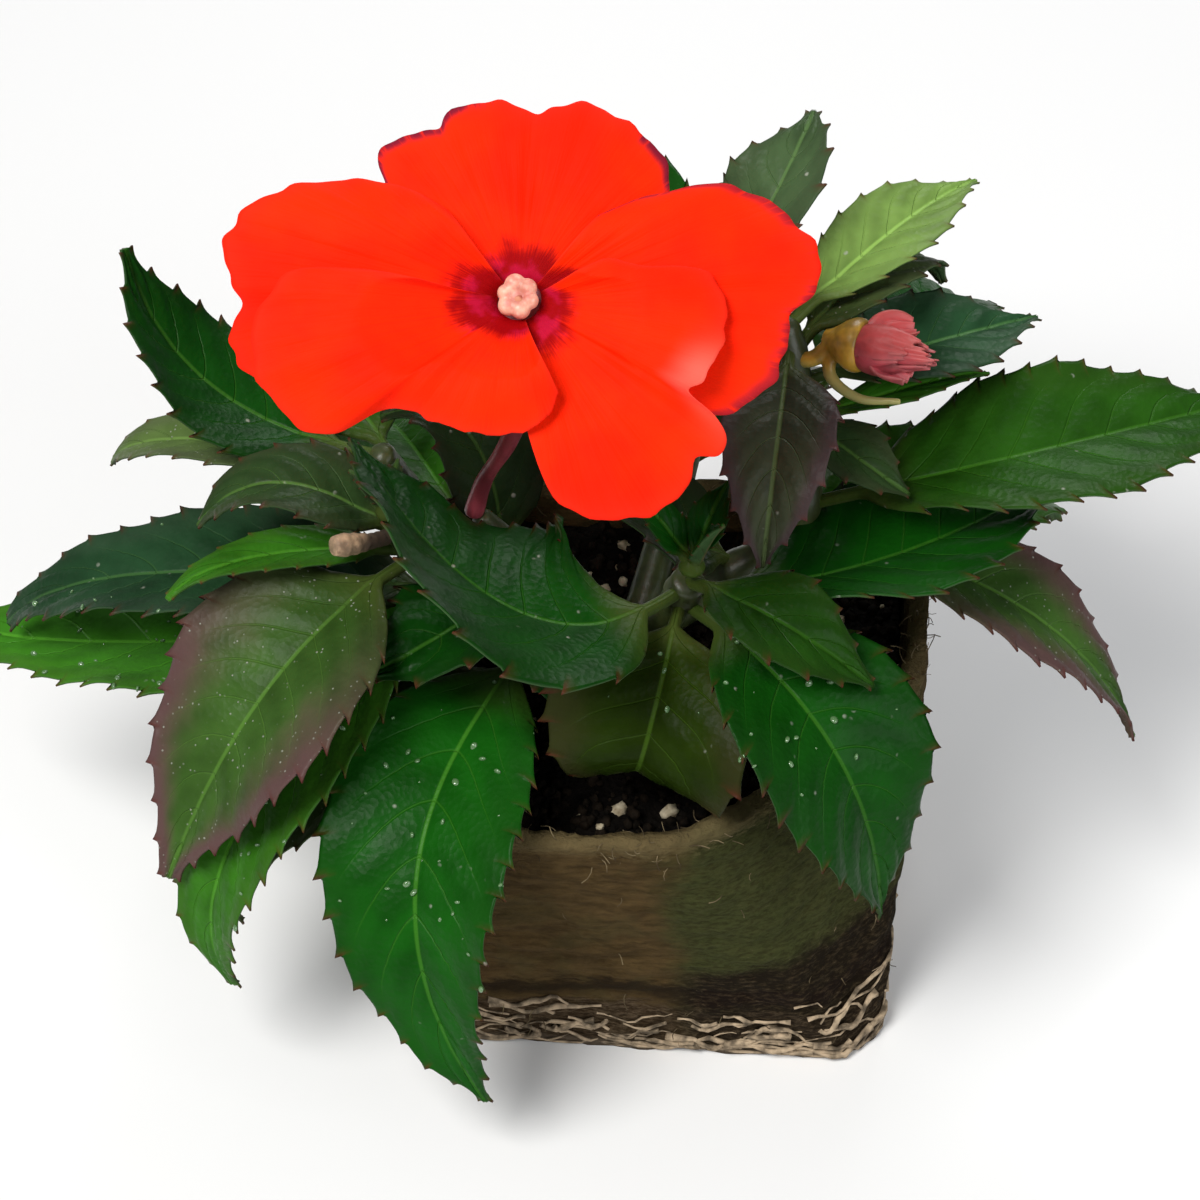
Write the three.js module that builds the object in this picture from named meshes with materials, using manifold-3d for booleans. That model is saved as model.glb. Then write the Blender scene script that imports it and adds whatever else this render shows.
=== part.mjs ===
// A young new guinea impatiens in a square fibre pot, in millimetres, +Z up.
// The origin is the centre of the pot's underside; -Y is the front of the plant.
import * as THREE from 'three';
import { mergeVertices } from 'three/addons/utils/BufferGeometryUtils.js';
import Module from 'manifold-3d';

const wasm = await Module();
wasm.setup();

// Driving dimensions

const POT_HEIGHT = 50;
const POT_TOP_HALF = 38;
const POT_BASE_HALF = 34;
const POT_WALL = 3;
const POT_FLOOR = 4;
const POT_CORNER = 6;
const DENT_TOP = 33;
const DENT_BASE = 5;
const SOIL_LEVEL = 43;
const GAP = 0.35;

const BLADE_THICKNESS = 0.8;
const PETIOLE_THICKNESS = 1.9;
const PETIOLE_SHARE = 0.13;
const PETIOLE_LONGEST = 8;
const TOOTH_SPACING = 10;
const TOOTH_HEIGHT = 1.3;
const FOLD_DEGREES = 14;

const PETAL_THICKNESS = 0.8;
const FLOWER_CENTRE = new THREE.Vector3(-20, -13, 128);
const FLOWER_LEAN_DEGREES = 41;
const THROAT_RADIUS = 2.9;

// Colours of the living parts, as seen in soft daylight

const COLOURS = {
  green: 0x3f6b3c,
  light: 0x6f9a4c,
  olive: 0x6a7444,
  dark: 0x2d4a33,
  teal: 0x35524a,
  bronze: 0x6b5a55,
  grey: 0x6f7a68,
  petal: 0xf2441f,
  cream: 0xf0d2b8,
  stem: 0x7d4a3a,
  flowerStalk: 0xc0605a,
  calyx: 0x9a7a45,
  budPetal: 0xd9584f,
  spent: 0xc9ab8c,
  fibre: 0x7d7364,
  soil: 0x1f1a16,
};

// Each leaf grows out of a branch, at a share of the branch's length from its foot.
// Its midrib runs from there through a middle point to its tip. Roll turns the blade about its midrib, in degrees.

const LEAVES = {
  front_left: { branch: 'front', at: 0.92, middle: [-20, -24, 82], tip: [-45, -2, 92], width: 35, roll: 0, colour: 'green' },
  front_down: { branch: 'front', at: 0.84, middle: [-2, -31, 64], tip: [-4, -21, 50], width: 28, roll: 0, colour: 'olive' },
  front_right: { branch: 'front', at: 0.77, middle: [23, -32, 68], tip: [32, -38, 39], width: 27, roll: 0, colour: 'green' },
  front_small: { branch: 'front', at: 0.97, middle: [15, -23, 82], tip: [29, -26, 73], width: 14, roll: 0, colour: 'light' },
  front_east: { branch: 'front', at: 0.86, middle: [30, -4, 76], tip: [56, 17, 75], width: 27, roll: -12, colour: 'green' },
  west_dark: { branch: 'west', at: 0.92, middle: [-54, -6, 87], tip: [-67, -7, 79], width: 14, roll: 0, colour: 'dark' },
  west_long: { branch: 'west', at: 0.58, middle: [-74, -5, 67], tip: [-99, 0, 50], width: 22, roll: 0, colour: 'teal' },
  west_young: { branch: 'west', at: 0.89, middle: [-58, -14, 80], tip: [-69, -22, 79], width: 8, roll: 0, colour: 'light' },
  west_low: { branch: 'west', at: 0.4, middle: [-84, -2, 49], tip: [-111, 9, 42], width: 28, roll: 0, colour: 'light' },
  west_bronze: { branch: 'west', at: 0.86, middle: [-54, -27, 69], tip: [-69, -41, 42], width: 30, roll: 0, colour: 'bronze' },
  west_high: { branch: 'north_west', at: 0.97, middle: [-68, 15, 86], tip: [-80, 23, 104], width: 21, roll: 0, colour: 'dark' },
  west_pale: { branch: 'north_west', at: 0.9, middle: [-71, 13, 77], tip: [-85, 19, 66], width: 12, roll: 0, colour: 'grey' },
  south_west: { branch: 'west', at: 0.72, middle: [-59, -37, 49], tip: [-61, -42, 20], width: 20, roll: 0, colour: 'light' },
  west_under: { branch: 'west', at: 0.2, middle: [-54, -31, 44.5], tip: [-61, -34, 25], width: 16, roll: 0, colour: 'grey' },
  south: { branch: 'west', at: 0.32, middle: [-33, -43, 49], tip: [-23, -56, 14], width: 27, roll: 0, colour: 'green' },
  middle_low: { branch: 'west', at: 0.12, middle: [-15, -16, 63], tip: [-12, -25, 62], width: 14, roll: 0, colour: 'dark' },
  middle_wide: { branch: 'west', at: 0.55, middle: [-31, -18, 71], tip: [-41, -24, 68], width: 18, roll: 0, colour: 'dark' },
  middle_back: { branch: 'east', at: 0.3, middle: [-4, 3, 76], tip: [-13, 6, 80], width: 18, roll: 0, colour: 'dark' },
  under_bloom: { branch: 'north_west', at: 0.42, middle: [-30, 11, 82], tip: [-43, 12, 84], width: 16, roll: 0, colour: 'dark' },
  east_long: { branch: 'east', at: 0.54, middle: [53, 12, 84], tip: [84, 33, 77], width: 26, roll: 0, colour: 'light' },
  east_low: { branch: 'east', at: 0.48, middle: [50, 0, 64], tip: [69, -2, 40], width: 18, roll: 0, colour: 'bronze' },
  east_hang: { branch: 'east', at: 0.92, middle: [14, -8, 98], tip: [13, -15, 84], width: 15, roll: 0, colour: 'bronze' },
  east_back: { branch: 'east', at: 0.84, middle: [37, 24, 93], tip: [51, 35, 89], width: 17, roll: 0, colour: 'teal' },
  east_grey: { branch: 'east', at: 0.9, middle: [28, 29, 103], tip: [37, 36, 94], width: 13, roll: 0, colour: 'grey' },
  east_stub: { branch: 'east', at: 0.76, middle: [26, 2, 89], tip: [33, 0, 85], width: 10, roll: 0, colour: 'dark' },
  east_young: { branch: 'east', at: 0.74, middle: [33, 16, 91], tip: [44, 22, 89], width: 6, roll: 0, colour: 'light' },
  back_pale: { branch: 'east', at: 0.97, middle: [29, 31, 107], tip: [41, 46, 105], width: 13, roll: 0, colour: 'light' },
  back_high: { branch: 'north', at: 0.96, middle: [12, 31, 112], tip: [17, 45, 117], width: 17, roll: 0, colour: 'green' },
  north_west: { branch: 'north_west', at: 0.82, middle: [-56, 32, 76], tip: [-74, 50, 60], width: 25, roll: 0, colour: 'green' },
  north_west_low: { branch: 'north_west', at: 0.5, middle: [-44, 34, 62], tip: [-52, 54, 42], width: 26, roll: 0, colour: 'light' },
  north: { branch: 'north', at: 0.82, middle: [-6, 52, 90], tip: [-12, 70, 70], width: 28, roll: 0, colour: 'green' },
  north_low: { branch: 'north', at: 0.38, middle: [8, 46, 66], tip: [8, 68, 40], width: 28, roll: 0, colour: 'dark' },
  north_east: { branch: 'east', at: 0.78, middle: [34, 42, 84], tip: [44, 62, 66], width: 22, roll: 0, colour: 'green' },
  north_east_low: { branch: 'east', at: 0.28, middle: [42, 26, 62], tip: [58, 42, 42], width: 25, roll: 0, colour: 'light' },
  crown_north: { branch: 'north', at: 0.94, middle: [-14, 40, 102], tip: [-34, 52, 94], width: 22, roll: 0, colour: 'green' },
};

// The stem's forks: points on each branch's axis, with its radius at the foot and the end.

const BRANCHES = {
  crown: { points: [[-6, -2, 28], [-7, -3, 48], [-5, -2, 60]], radii: [4.2, 3.6] },
  front: { points: [[-5, -2, 56], [-1, -9, 66], [3, -14, 80]], radii: [2.8, 2.1] },
  west: { points: [[-7, -3, 50], [-19, -5, 59], [-31, -6, 69], [-39, -7, 80]], radii: [2.7, 1.9] },
  north_west: { points: [[-7, -3, 50], [-24, 6, 58], [-38, 10, 70], [-43, 7, 82]], radii: [2.7, 1.8] },
  east: { points: [[-5, -2, 56], [8, 3, 64], [18, 5, 76], [17, 12, 90], [14, 17, 102]], radii: [2.9, 1.8] },
  north: { points: [[-5, -2, 57], [-1, 12, 68], [3, 24, 84], [5, 28, 98]], radii: [2.8, 1.8] },
  bloom: { points: [[-5, -2, 57], [-18, -1, 67], [-28, -1, 78]], radii: [2.3, 1.7] },
};

// Young leaves folded at a shoot's end: the centre, and each leaf's heading in degrees, rise and length.

const TUFTS = {
  tuft_front: { centre: [3.2, -14.5, 83], leaves: [[150, 40, 14], [60, 45, 13], [335, 66, 11]], colour: 'green' },
  tuft_west: { centre: [-39.7, -6.9, 83.4], leaves: [[150, 34, 8], [85, 26, 8]], colour: 'dark' },
  tuft_east: { centre: [13.4, 17.8, 105], leaves: [[165, 50, 11], [300, 68, 9], [225, 60, 12]], colour: 'bronze' },
};

// Petal rims in the flower's own plane: angle in degrees and distance from the throat.
// Layer is how far in front of the flower's plane the petal lies, dome how far its middle swells.

const PETALS = {
  petal_top: {
    rim: [[150, 18], [138, 25], [124, 28], [112, 27], [99, 28.5], [89, 26], [78, 28.5], [58, 28], [42, 24], [30, 17]],
    layer: -3,
    dome: 2,
  },
  petal_upper_left: {
    rim: [[214, 24], [198, 34], [188, 38], [180, 36], [173, 39], [164, 38], [152, 34], [141, 24], [131, 15]],
    layer: 0,
    dome: 2.6,
  },
  petal_upper_right: {
    rim: [[50, 15], [39, 24], [30, 32], [16, 38.5], [6, 38], [-3, 34], [-14, 34], [-28, 28], [-44, 19]],
    layer: 0,
    dome: 2.6,
  },
  petal_lower_left: {
    rim: [[296, 14], [282, 17], [262, 18], [238, 22], [224, 28], [213, 33], [197, 35], [186, 31], [174, 20]],
    layer: 6.4,
    dome: 2.2,
  },
  petal_lower_right: {
    rim: [[26, 12], [13, 21], [0, 26], [-14, 26], [-27, 25], [-35, 31], [-53, 32], [-66, 30], [-77, 26], [-83, 17]],
    layer: 4,
    dome: 0.8,
  },
};

// Small helpers

const radians = (degrees) => THREE.MathUtils.degToRad(degrees);
const vector = (list) => new THREE.Vector3(...list);
const mix = THREE.MathUtils.lerp;

function randomFrom(seed) {
  let state = seed;
  return () => {
    state = (state * 48271) % 2147483647;
    return state / 2147483647;
  };
}

// A closed skin over rings of points: every ring has the same even count, its second half facing its first.
function skin(rings) {
  const count = rings[0].length;
  const half = count / 2;
  const positions = rings.flat().flatMap((point) => [point.x, point.y, point.z]);
  const triangles = [];
  for (let row = 0; row < rings.length - 1; row += 1) {
    for (let k = 0; k < count; k += 1) {
      const next = (k + 1) % count;
      const a = row * count + k;
      const b = row * count + next;
      const c = a + count;
      const d = b + count;
      if (k < half) {
        triangles.push(a, b, d, a, d, c);
      } else {
        triangles.push(a, b, c, b, d, c);
      }
    }
  }
  const last = (rings.length - 1) * count;
  for (let k = 0; k < half - 1; k += 1) {
    const facing = count - 1 - k;
    const quad = [k, k + 1, facing - 1, facing];
    triangles.push(quad[0], quad[2], quad[1], quad[0], quad[3], quad[2]);
    triangles.push(last + quad[0], last + quad[1], last + quad[2], last + quad[0], last + quad[2], last + quad[3]);
  }
  const geometry = new THREE.BufferGeometry();
  geometry.setAttribute('position', new THREE.Float32BufferAttribute(positions, 3));
  geometry.setIndex(triangles);
  return geometry;
}

function solid(geometry) {
  const plain = geometry.clone();
  plain.deleteAttribute('normal');
  plain.deleteAttribute('uv');
  const merged = mergeVertices(plain, 1e-4);
  const manifold = new wasm.Manifold(new wasm.Mesh({
    numProp: 3,
    vertProperties: new Float32Array(merged.attributes.position.array),
    triVerts: new Uint32Array(merged.index.array),
  }));
  return manifold;
}

function geometryOf(manifold) {
  const mesh = manifold.getMesh();
  const geometry = new THREE.BufferGeometry();
  geometry.setAttribute('position', new THREE.BufferAttribute(new Float32Array(mesh.vertProperties), 3));
  geometry.setIndex(new THREE.BufferAttribute(new Uint32Array(mesh.triVerts), 1));
  geometry.computeVertexNormals();
  return geometry;
}

function largestPiece(manifold) {
  const pieces = manifold.decompose();
  pieces.sort((a, b) => b.volume() - a.volume());
  return pieces[0];
}

function joined(manifolds) {
  return manifolds.reduce((whole, piece) => whole.add(piece));
}

// Leaves

// The midrib's point, direction, sideways direction and upward direction at a share t of its length.
function midribFrame(curve, sideways, roll, t) {
  const point = curve.getPointAt(t);
  const along = curve.getTangentAt(t);
  const side = sideways.clone().addScaledVector(along, -sideways.dot(along)).normalize();
  const up = new THREE.Vector3().crossVectors(along, side);
  side.applyAxisAngle(along, roll);
  up.applyAxisAngle(along, roll);
  return { point, along, side, up };
}

// Half the blade's width, as a share of its widest, at a share t from the stalk to the tip.
function bladeOutline(t) {
  const base = 0.85;
  const taper = 1.3;
  const widest = base / (base + taper);
  return Math.pow(t / widest, base) * Math.pow((1 - t) / (1 - widest), taper);
}

function leafRing(frame, halfWidth, thickness, fold, wave, reach) {
  const shares = [-1, -0.5, 0, 0.5, 1];
  const top = [];
  const bottom = [];
  for (const share of shares) {
    const lift = Math.abs(share) * halfWidth * Math.tan(fold) + wave * share * share * share;
    const forward = Math.abs(share) > 0.9 ? reach : 0;
    const offset = frame.point.clone()
      .addScaledVector(frame.side, -share * halfWidth)
      .addScaledVector(frame.up, lift)
      .addScaledVector(frame.along, forward);
    top.push(offset.clone().addScaledVector(frame.up, thickness / 2));
    bottom.unshift(offset.clone().addScaledVector(frame.up, -thickness / 2));
  }
  return [...top, ...bottom];
}

function leafGeometry(from, { middle, tip, width, roll }) {
  const through = vector(middle);
  const to = vector(tip);
  const control = through.clone().multiplyScalar(2).addScaledVector(from, -0.5).addScaledVector(to, -0.5);
  const curve = new THREE.QuadraticBezierCurve3(from, control, to);
  const heading = through.clone().sub(from).setZ(0).normalize();
  const sideways = new THREE.Vector3(0, 0, 1).cross(heading);
  const length = curve.getLength();
  const petiole = Math.min(PETIOLE_LONGEST, length * PETIOLE_SHARE) / length;
  const teeth = Math.max(3, Math.round(length * (1 - petiole) / TOOTH_SPACING));
  const steps = 2 * teeth;
  const rings = [];
  for (const share of [0, 0.5]) {
    const frame = midribFrame(curve, sideways, radians(roll), share * petiole);
    rings.push(leafRing(frame, PETIOLE_THICKNESS / 2, PETIOLE_THICKNESS, 0, 0, 0));
  }
  for (let step = 0; step <= steps; step += 1) {
    const t = step / steps;
    const frame = midribFrame(curve, sideways, radians(roll), mix(petiole, 1, t));
    const tooth = step % 2 === 1 ? TOOTH_HEIGHT * Math.min(1, width / 20) : 0;
    const halfWidth = Math.max(mix(PETIOLE_THICKNESS, 0.7, t) / 2, bladeOutline(t) * width / 2 + tooth * (1 - t * 0.6));
    const thickness = mix(PETIOLE_THICKNESS, BLADE_THICKNESS, Math.min(1, t * 5));
    const wave = Math.sin(t * 9) * width * 0.035;
    rings.push(leafRing(frame, halfWidth, thickness, radians(FOLD_DEGREES), wave, tooth * 0.9));
  }
  return skin(rings);
}

// Young leaves stand round a small knob, which holds them together.
function tuftGeometry({ centre, leaves }) {
  const knob = new THREE.SphereGeometry(1.9, 10, 6);
  knob.rotateX(Math.PI / 2);
  knob.translate(...centre);
  const pieces = [solid(knob)];
  for (const [heading, rise, length] of leaves) {
    const direction = new THREE.Vector3(
      Math.cos(radians(heading)) * Math.cos(radians(rise)),
      Math.sin(radians(heading)) * Math.cos(radians(rise)),
      Math.sin(radians(rise)),
    );
    const from = vector(centre);
    const tip = from.clone().addScaledVector(direction, length);
    const middle = from.clone().lerp(tip, 0.5).add(new THREE.Vector3(0, 0, length * 0.1));
    pieces.push(solid(leafGeometry(from, {
      middle: middle.toArray(),
      tip: tip.toArray(),
      width: length * 0.42,
      roll: 0,
    })));
  }
  return joined(pieces);
}

// Stem

function branchCurve(name) {
  return new THREE.CatmullRomCurve3(BRANCHES[name].points.map(vector));
}

function taperedTube(points, footRadius, endRadius, sides = 8, steps = 8) {
  const curve = new THREE.CatmullRomCurve3(points.map(vector));
  const rings = [];
  const first = curve.getTangentAt(0);
  const reference = Math.abs(first.z) > 0.9 ? new THREE.Vector3(1, 0, 0) : new THREE.Vector3(0, 0, 1);
  let side = new THREE.Vector3().crossVectors(first, reference).normalize();
  for (let step = 0; step <= steps; step += 1) {
    const t = step / steps;
    const along = curve.getTangentAt(t);
    side = side.clone().addScaledVector(along, -side.dot(along)).normalize();
    const up = new THREE.Vector3().crossVectors(along, side);
    const radius = mix(footRadius, endRadius, t);
    const ring = [];
    for (let k = 0; k < sides; k += 1) {
      const angle = 2 * Math.PI * k / sides;
      ring.push(curve.getPointAt(t)
        .addScaledVector(side, radius * Math.cos(angle))
        .addScaledVector(up, radius * Math.sin(angle)));
    }
    rings.push(ring);
  }
  return skin(rings);
}

function stemSolid(extra) {
  const branches = Object.values(BRANCHES).map(({ points, radii }) => (
    solid(taperedTube(points, radii[0] + extra, radii[1] + extra, 8, 7))
  ));
  return joined(branches);
}

// Pot and soil

// Five corners seen from above, anticlockwise: a square whose front right corner is cut off by the dent.
function potCorners(z, inset) {
  const share = z / POT_HEIGHT;
  const half = mix(POT_BASE_HALF, POT_TOP_HALF, share);
  const dent = mix(DENT_BASE, DENT_TOP, share);
  const reach = half - inset;
  const cut = 2 * half - dent - inset * Math.SQRT2 - reach;
  return [
    { x: -reach, y: -reach, round: POT_CORNER },
    { x: cut, y: -reach, round: dent * 0.3 },
    { x: reach, y: -cut, round: dent * 0.3 },
    { x: reach, y: reach, round: POT_CORNER },
    { x: -reach, y: reach, round: POT_CORNER },
  ];
}

// One level of the pot's wall: each corner is rounded, and each side after it has a few points of its own.
function potRing(z, inset) {
  const corners = potCorners(z, inset);
  const sidePoints = [3, 3, 3, 4, 3];
  const place = (from, to, distance) => {
    const length = Math.hypot(to.x - from.x, to.y - from.y);
    return new THREE.Vector3(mix(from.x, to.x, distance / length), mix(from.y, to.y, distance / length), z);
  };
  const ring = [];
  corners.forEach((corner, k) => {
    const before = corners[(k + 4) % 5];
    const after = corners[(k + 1) % 5];
    const bend = new THREE.QuadraticBezierCurve3(
      place(corner, before, corner.round),
      new THREE.Vector3(corner.x, corner.y, z),
      place(corner, after, corner.round),
    );
    ring.push(...bend.getPoints(3));
    const from = place(corner, after, corner.round);
    const to = place(after, corner, after.round);
    for (let step = 1; step <= sidePoints[k]; step += 1) {
      ring.push(from.clone().lerp(to, step / (sidePoints[k] + 1)));
    }
  });
  return ring;
}

// The wall's levels, the same for the pot's inside and for the soil, so that the gap between them stays even.
const INNER_LEVELS = [POT_FLOOR, 12, 20, 28, 36, SOIL_LEVEL];

// One skin: up the outside, over the frayed rim and down the inside to the floor.
function potSolid() {
  const random = randomFrom(7);
  const outer = [0, 7, 14, 21, 28, 35, 42].map((z) => potRing(z, 0));
  outer.slice(1).flat().forEach((point) => {
    const swell = 1 + (random() - 0.5) * 0.014;
    point.x *= swell;
    point.y *= swell;
  });
  const frayed = outer[0].map(() => random() * 1.6 - 1.2);
  const rim = [0, POT_WALL].map((inset) => potRing(POT_HEIGHT, inset));
  rim.forEach((ring) => ring.forEach((point, k) => {
    point.z += frayed[k];
  }));
  const inner = INNER_LEVELS.map((z) => potRing(z, POT_WALL)).reverse();
  return solid(skin([...outer, ...rim, ...inner]));
}

// The soil's top is lumpy: rings shrink towards its middle at uneven heights.
function soilSolid() {
  const random = randomFrom(23);
  const rings = INNER_LEVELS.map((z) => potRing(z, POT_WALL + GAP));
  rings[0].forEach((point) => {
    point.z += GAP;
  });
  const edge = rings[rings.length - 1];
  for (const share of [0.84, 0.66, 0.48, 0.3]) {
    rings.push(edge.map((point) => new THREE.Vector3(
      point.x * share,
      point.y * share,
      SOIL_LEVEL + 0.6 + (random() - 0.5) * 2.4,
    )));
  }
  return solid(skin(rings));
}

// Flower

const flowerFrame = new THREE.Matrix4().makeRotationX(radians(FLOWER_LEAN_DEGREES));

// From the flower's own plane to the plant: u to the right, v up the flower, w out of its face.
function placeInFlower(u, v, w) {
  return new THREE.Vector3(u, v, w).applyMatrix4(flowerFrame).add(FLOWER_CENTRE);
}

// Rows run from the throat to the rim, and spread from the narrow claw to the rim's full width.
function petalGeometry({ rim, layer, dome }) {
  const rimCurve = new THREE.CatmullRomCurve3(rim.map(([angle, reach]) => new THREE.Vector3(angle, reach, 0)));
  const rows = 5;
  const columns = 9;
  const axis = (rim[0][0] + rim[rim.length - 1][0]) / 2;
  const rings = [];
  for (let row = 0; row <= rows; row += 1) {
    const share = row / rows;
    const spread = mix(0.72, 1, Math.sin(Math.PI * share / 2));
    const top = [];
    const bottom = [];
    for (let column = 0; column <= columns; column += 1) {
      const along = column / columns;
      const edge = rimCurve.getPoint(along);
      const angle = radians(mix(axis, edge.x, spread));
      const reach = mix(THROAT_RADIUS, edge.y, Math.pow(share, 0.85));
      const cup = dome * (Math.sin(Math.PI * share * 0.8) - 0.5 * share * share);
      const ripple = 0.5 * share * share * Math.sin(along * 13);
      const w = layer * (0.35 + 0.65 * Math.min(1, share * 2)) + cup + ripple;
      top.push(placeInFlower(reach * Math.cos(angle), reach * Math.sin(angle), w + PETAL_THICKNESS / 2));
      bottom.unshift(placeInFlower(reach * Math.cos(angle), reach * Math.sin(angle), w - PETAL_THICKNESS / 2));
    }
    rings.push([...top, ...bottom]);
  }
  return skin(rings);
}

function ellipsoid(radii, centre, turn = 0) {
  const shape = new THREE.SphereGeometry(1, 8, 6);
  shape.scale(...radii);
  shape.rotateZ(turn);
  shape.translate(...centre);
  return shape;
}

// The cap over the stamens: a lobed button standing in the throat.
function columnSolid() {
  const lobes = [solid(ellipsoid([2.1, 2.1, 3], [0, 0, 1.5]))];
  for (let k = 0; k < 4; k += 1) {
    const angle = Math.PI / 4 + k * Math.PI / 2;
    lobes.push(solid(ellipsoid([1.4, 1.4, 1.4], [1.7 * Math.cos(angle), 1.7 * Math.sin(angle), 3.4])));
  }
  const cap = geometryOf(joined(lobes));
  cap.applyMatrix4(flowerFrame);
  cap.translate(...FLOWER_CENTRE.toArray());
  return solid(cap);
}

// The stalk comes up behind the flower, widens to its seat, and carries two sepals and the spur.
function bloomStalkSolid() {
  const seat = placeInFlower(0, 0, -2.4);
  const behind = placeInFlower(0, -3, -8);
  const stalk = taperedTube([[-28.4, -1, 78.5], [-27.8, -1.4, 85], [-21.5, -8, 96], [-18, -8, 112], behind.toArray(), seat.toArray()], 1.3, 1.3, 8, 10);
  const foot = placeInFlower(0, 0, -5.4);
  const button = taperedTube([foot.toArray(), placeInFlower(0, 0, -3.6).toArray(), placeInFlower(0, 0, -1.85).toArray()], 1.4, 3.4, 10, 4);
  const spurPoints = [[0, 0, -4], [0, -6, -8], [1, -16, -12], [2, -25, -10], [3, -30, -6]];
  const spur = taperedTube(spurPoints.map((p) => placeInFlower(...p).toArray()), 1.5, 0.6, 8, 9);
  return joined([stalk, button, spur].map(solid));
}

// Bud: furled petals that lean out of a calyx, on a stalk with its own spur.
const BUD_SEAT = [21.5, 14.5, 100];
const BUD_END = [33, 9.5, 102.5];

function budPetalsSolid() {
  const seat = vector(BUD_SEAT);
  const end = vector(BUD_END);
  const furl = taperedTube([seat.clone().lerp(end, 0.39).toArray(), seat.clone().lerp(end, 0.75).toArray(), end.toArray()], 3.6, 1.2, 10, 4);
  const flap = taperedTube([seat.clone().lerp(end, 0.66).toArray(), [30, 14.5, 103], [34, 16.5, 102]], 2.6, 0.9, 8, 4);
  const fold = taperedTube([seat.clone().lerp(end, 0.66).toArray(), [29.5, 8.5, 99.5], [32, 5.5, 98.5]], 2.4, 0.9, 8, 4);
  return joined([furl, flap, fold].map(solid));
}

function budCalyxSolid() {
  const seat = vector(BUD_SEAT);
  const end = vector(BUD_END);
  const cup = taperedTube([seat.clone().lerp(end, -0.12).toArray(), seat.clone().lerp(end, 0.08).toArray(), seat.clone().lerp(end, 0.36).toArray()], 1.6, 3.9, 10, 4);
  const stalk = taperedTube([[15.5, 14.6, 96.5], [18.5, 13.4, 97.6], seat.toArray()], 1.1, 1.3, 8, 4);
  const spur = taperedTube([BUD_SEAT, [21, 11.5, 96.5], [25, 8.5, 95], [31, 7.5, 95.5]], 1.2, 0.6, 8, 6);
  return joined([cup, stalk, spur].map(solid));
}

const spentStalk = solid(taperedTube([[-40, -8.4, 79.8], [-42.2, -11.8, 82], [-46.4, -14.8, 83.8]], 1.2, 1.5, 8, 4));

// Assembly

function material(colour, roughness) {
  return new THREE.MeshStandardMaterial({ color: colour, roughness, metalness: 0 });
}

const plant = new THREE.Group();

function addPiece(name, manifold, colour, roughness) {
  const mesh = new THREE.Mesh(geometryOf(manifold), material(colour, roughness));
  mesh.name = name;
  plant.add(mesh);
}

const stem = stemSolid(0);
const roomForStem = stemSolid(GAP);

addPiece('pot', potSolid(), COLOURS.fibre, 0.95);
addPiece('soil', largestPiece(soilSolid().subtract(roomForStem)), COLOURS.soil, 1);
addPiece('stem', stem, COLOURS.stem, 0.45);

for (const [name, leaf] of Object.entries(LEAVES)) {
  const from = branchCurve(leaf.branch).getPointAt(leaf.at);
  const blade = solid(leafGeometry(from, leaf)).subtract(roomForStem);
  addPiece(`leaf_${name}`, largestPiece(blade), COLOURS[leaf.colour], 0.42);
}

for (const [name, tuft] of Object.entries(TUFTS)) {
  addPiece(name, largestPiece(tuftGeometry(tuft).subtract(roomForStem)), COLOURS[tuft.colour], 0.45);
}

for (const [name, petal] of Object.entries(PETALS)) {
  addPiece(name, solid(petalGeometry(petal)), COLOURS.petal, 0.55);
}

addPiece('bloom_column', columnSolid(), COLOURS.cream, 0.5);
addPiece('bloom_stalk', largestPiece(bloomStalkSolid().subtract(roomForStem)), COLOURS.flowerStalk, 0.45);
addPiece('bud_petals', budPetalsSolid(), COLOURS.budPetal, 0.55);
addPiece('bud_calyx', largestPiece(budCalyxSolid().subtract(roomForStem)), COLOURS.calyx, 0.5);
addPiece('spent_stalk', largestPiece(spentStalk.subtract(roomForStem)), COLOURS.spent, 0.7);

export default plant;
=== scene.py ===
"""Finishes a young new guinea impatiens in its square fibre pot.

Leaves, petals, stems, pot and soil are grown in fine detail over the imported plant, in metres.
"""

import math

import bmesh
import bpy
import numpy as np
from bpy.props import FloatProperty, FloatVectorProperty, IntProperty, PointerProperty
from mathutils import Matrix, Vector, noise


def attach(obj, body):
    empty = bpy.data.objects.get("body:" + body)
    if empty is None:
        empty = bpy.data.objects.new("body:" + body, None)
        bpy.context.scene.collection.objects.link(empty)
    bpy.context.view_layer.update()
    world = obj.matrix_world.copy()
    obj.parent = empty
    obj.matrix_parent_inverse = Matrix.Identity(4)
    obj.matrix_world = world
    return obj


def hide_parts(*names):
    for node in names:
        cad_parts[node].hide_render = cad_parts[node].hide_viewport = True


bl_info = {
    "name": "Potted New Guinea Impatiens",
    "version": (1, 0, 0),
    "blender": (4, 5, 0),
    "location": "View3D > Sidebar > Impatiens",
    "description": "Grows the leaves, flower, bud, stems, soil and fibre pot of a potted impatiens",
    "category": "Object",
}

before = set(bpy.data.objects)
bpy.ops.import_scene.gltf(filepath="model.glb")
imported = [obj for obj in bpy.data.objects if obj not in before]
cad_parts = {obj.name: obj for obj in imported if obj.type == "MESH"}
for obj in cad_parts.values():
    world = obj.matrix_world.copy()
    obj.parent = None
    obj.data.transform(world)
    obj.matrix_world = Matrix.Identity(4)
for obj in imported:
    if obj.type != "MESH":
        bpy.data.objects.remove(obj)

MM = 0.001
PLANT_BODY = "root"

# Leaves in millimetres: the branch and the share of its length where the leaf starts, a point on the midrib,
# the tip, the blade's width, the turn about the midrib in degrees, the colour class and a brightness, which
# paints the light and shade that fall on the leaf as well as its own tone.

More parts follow.
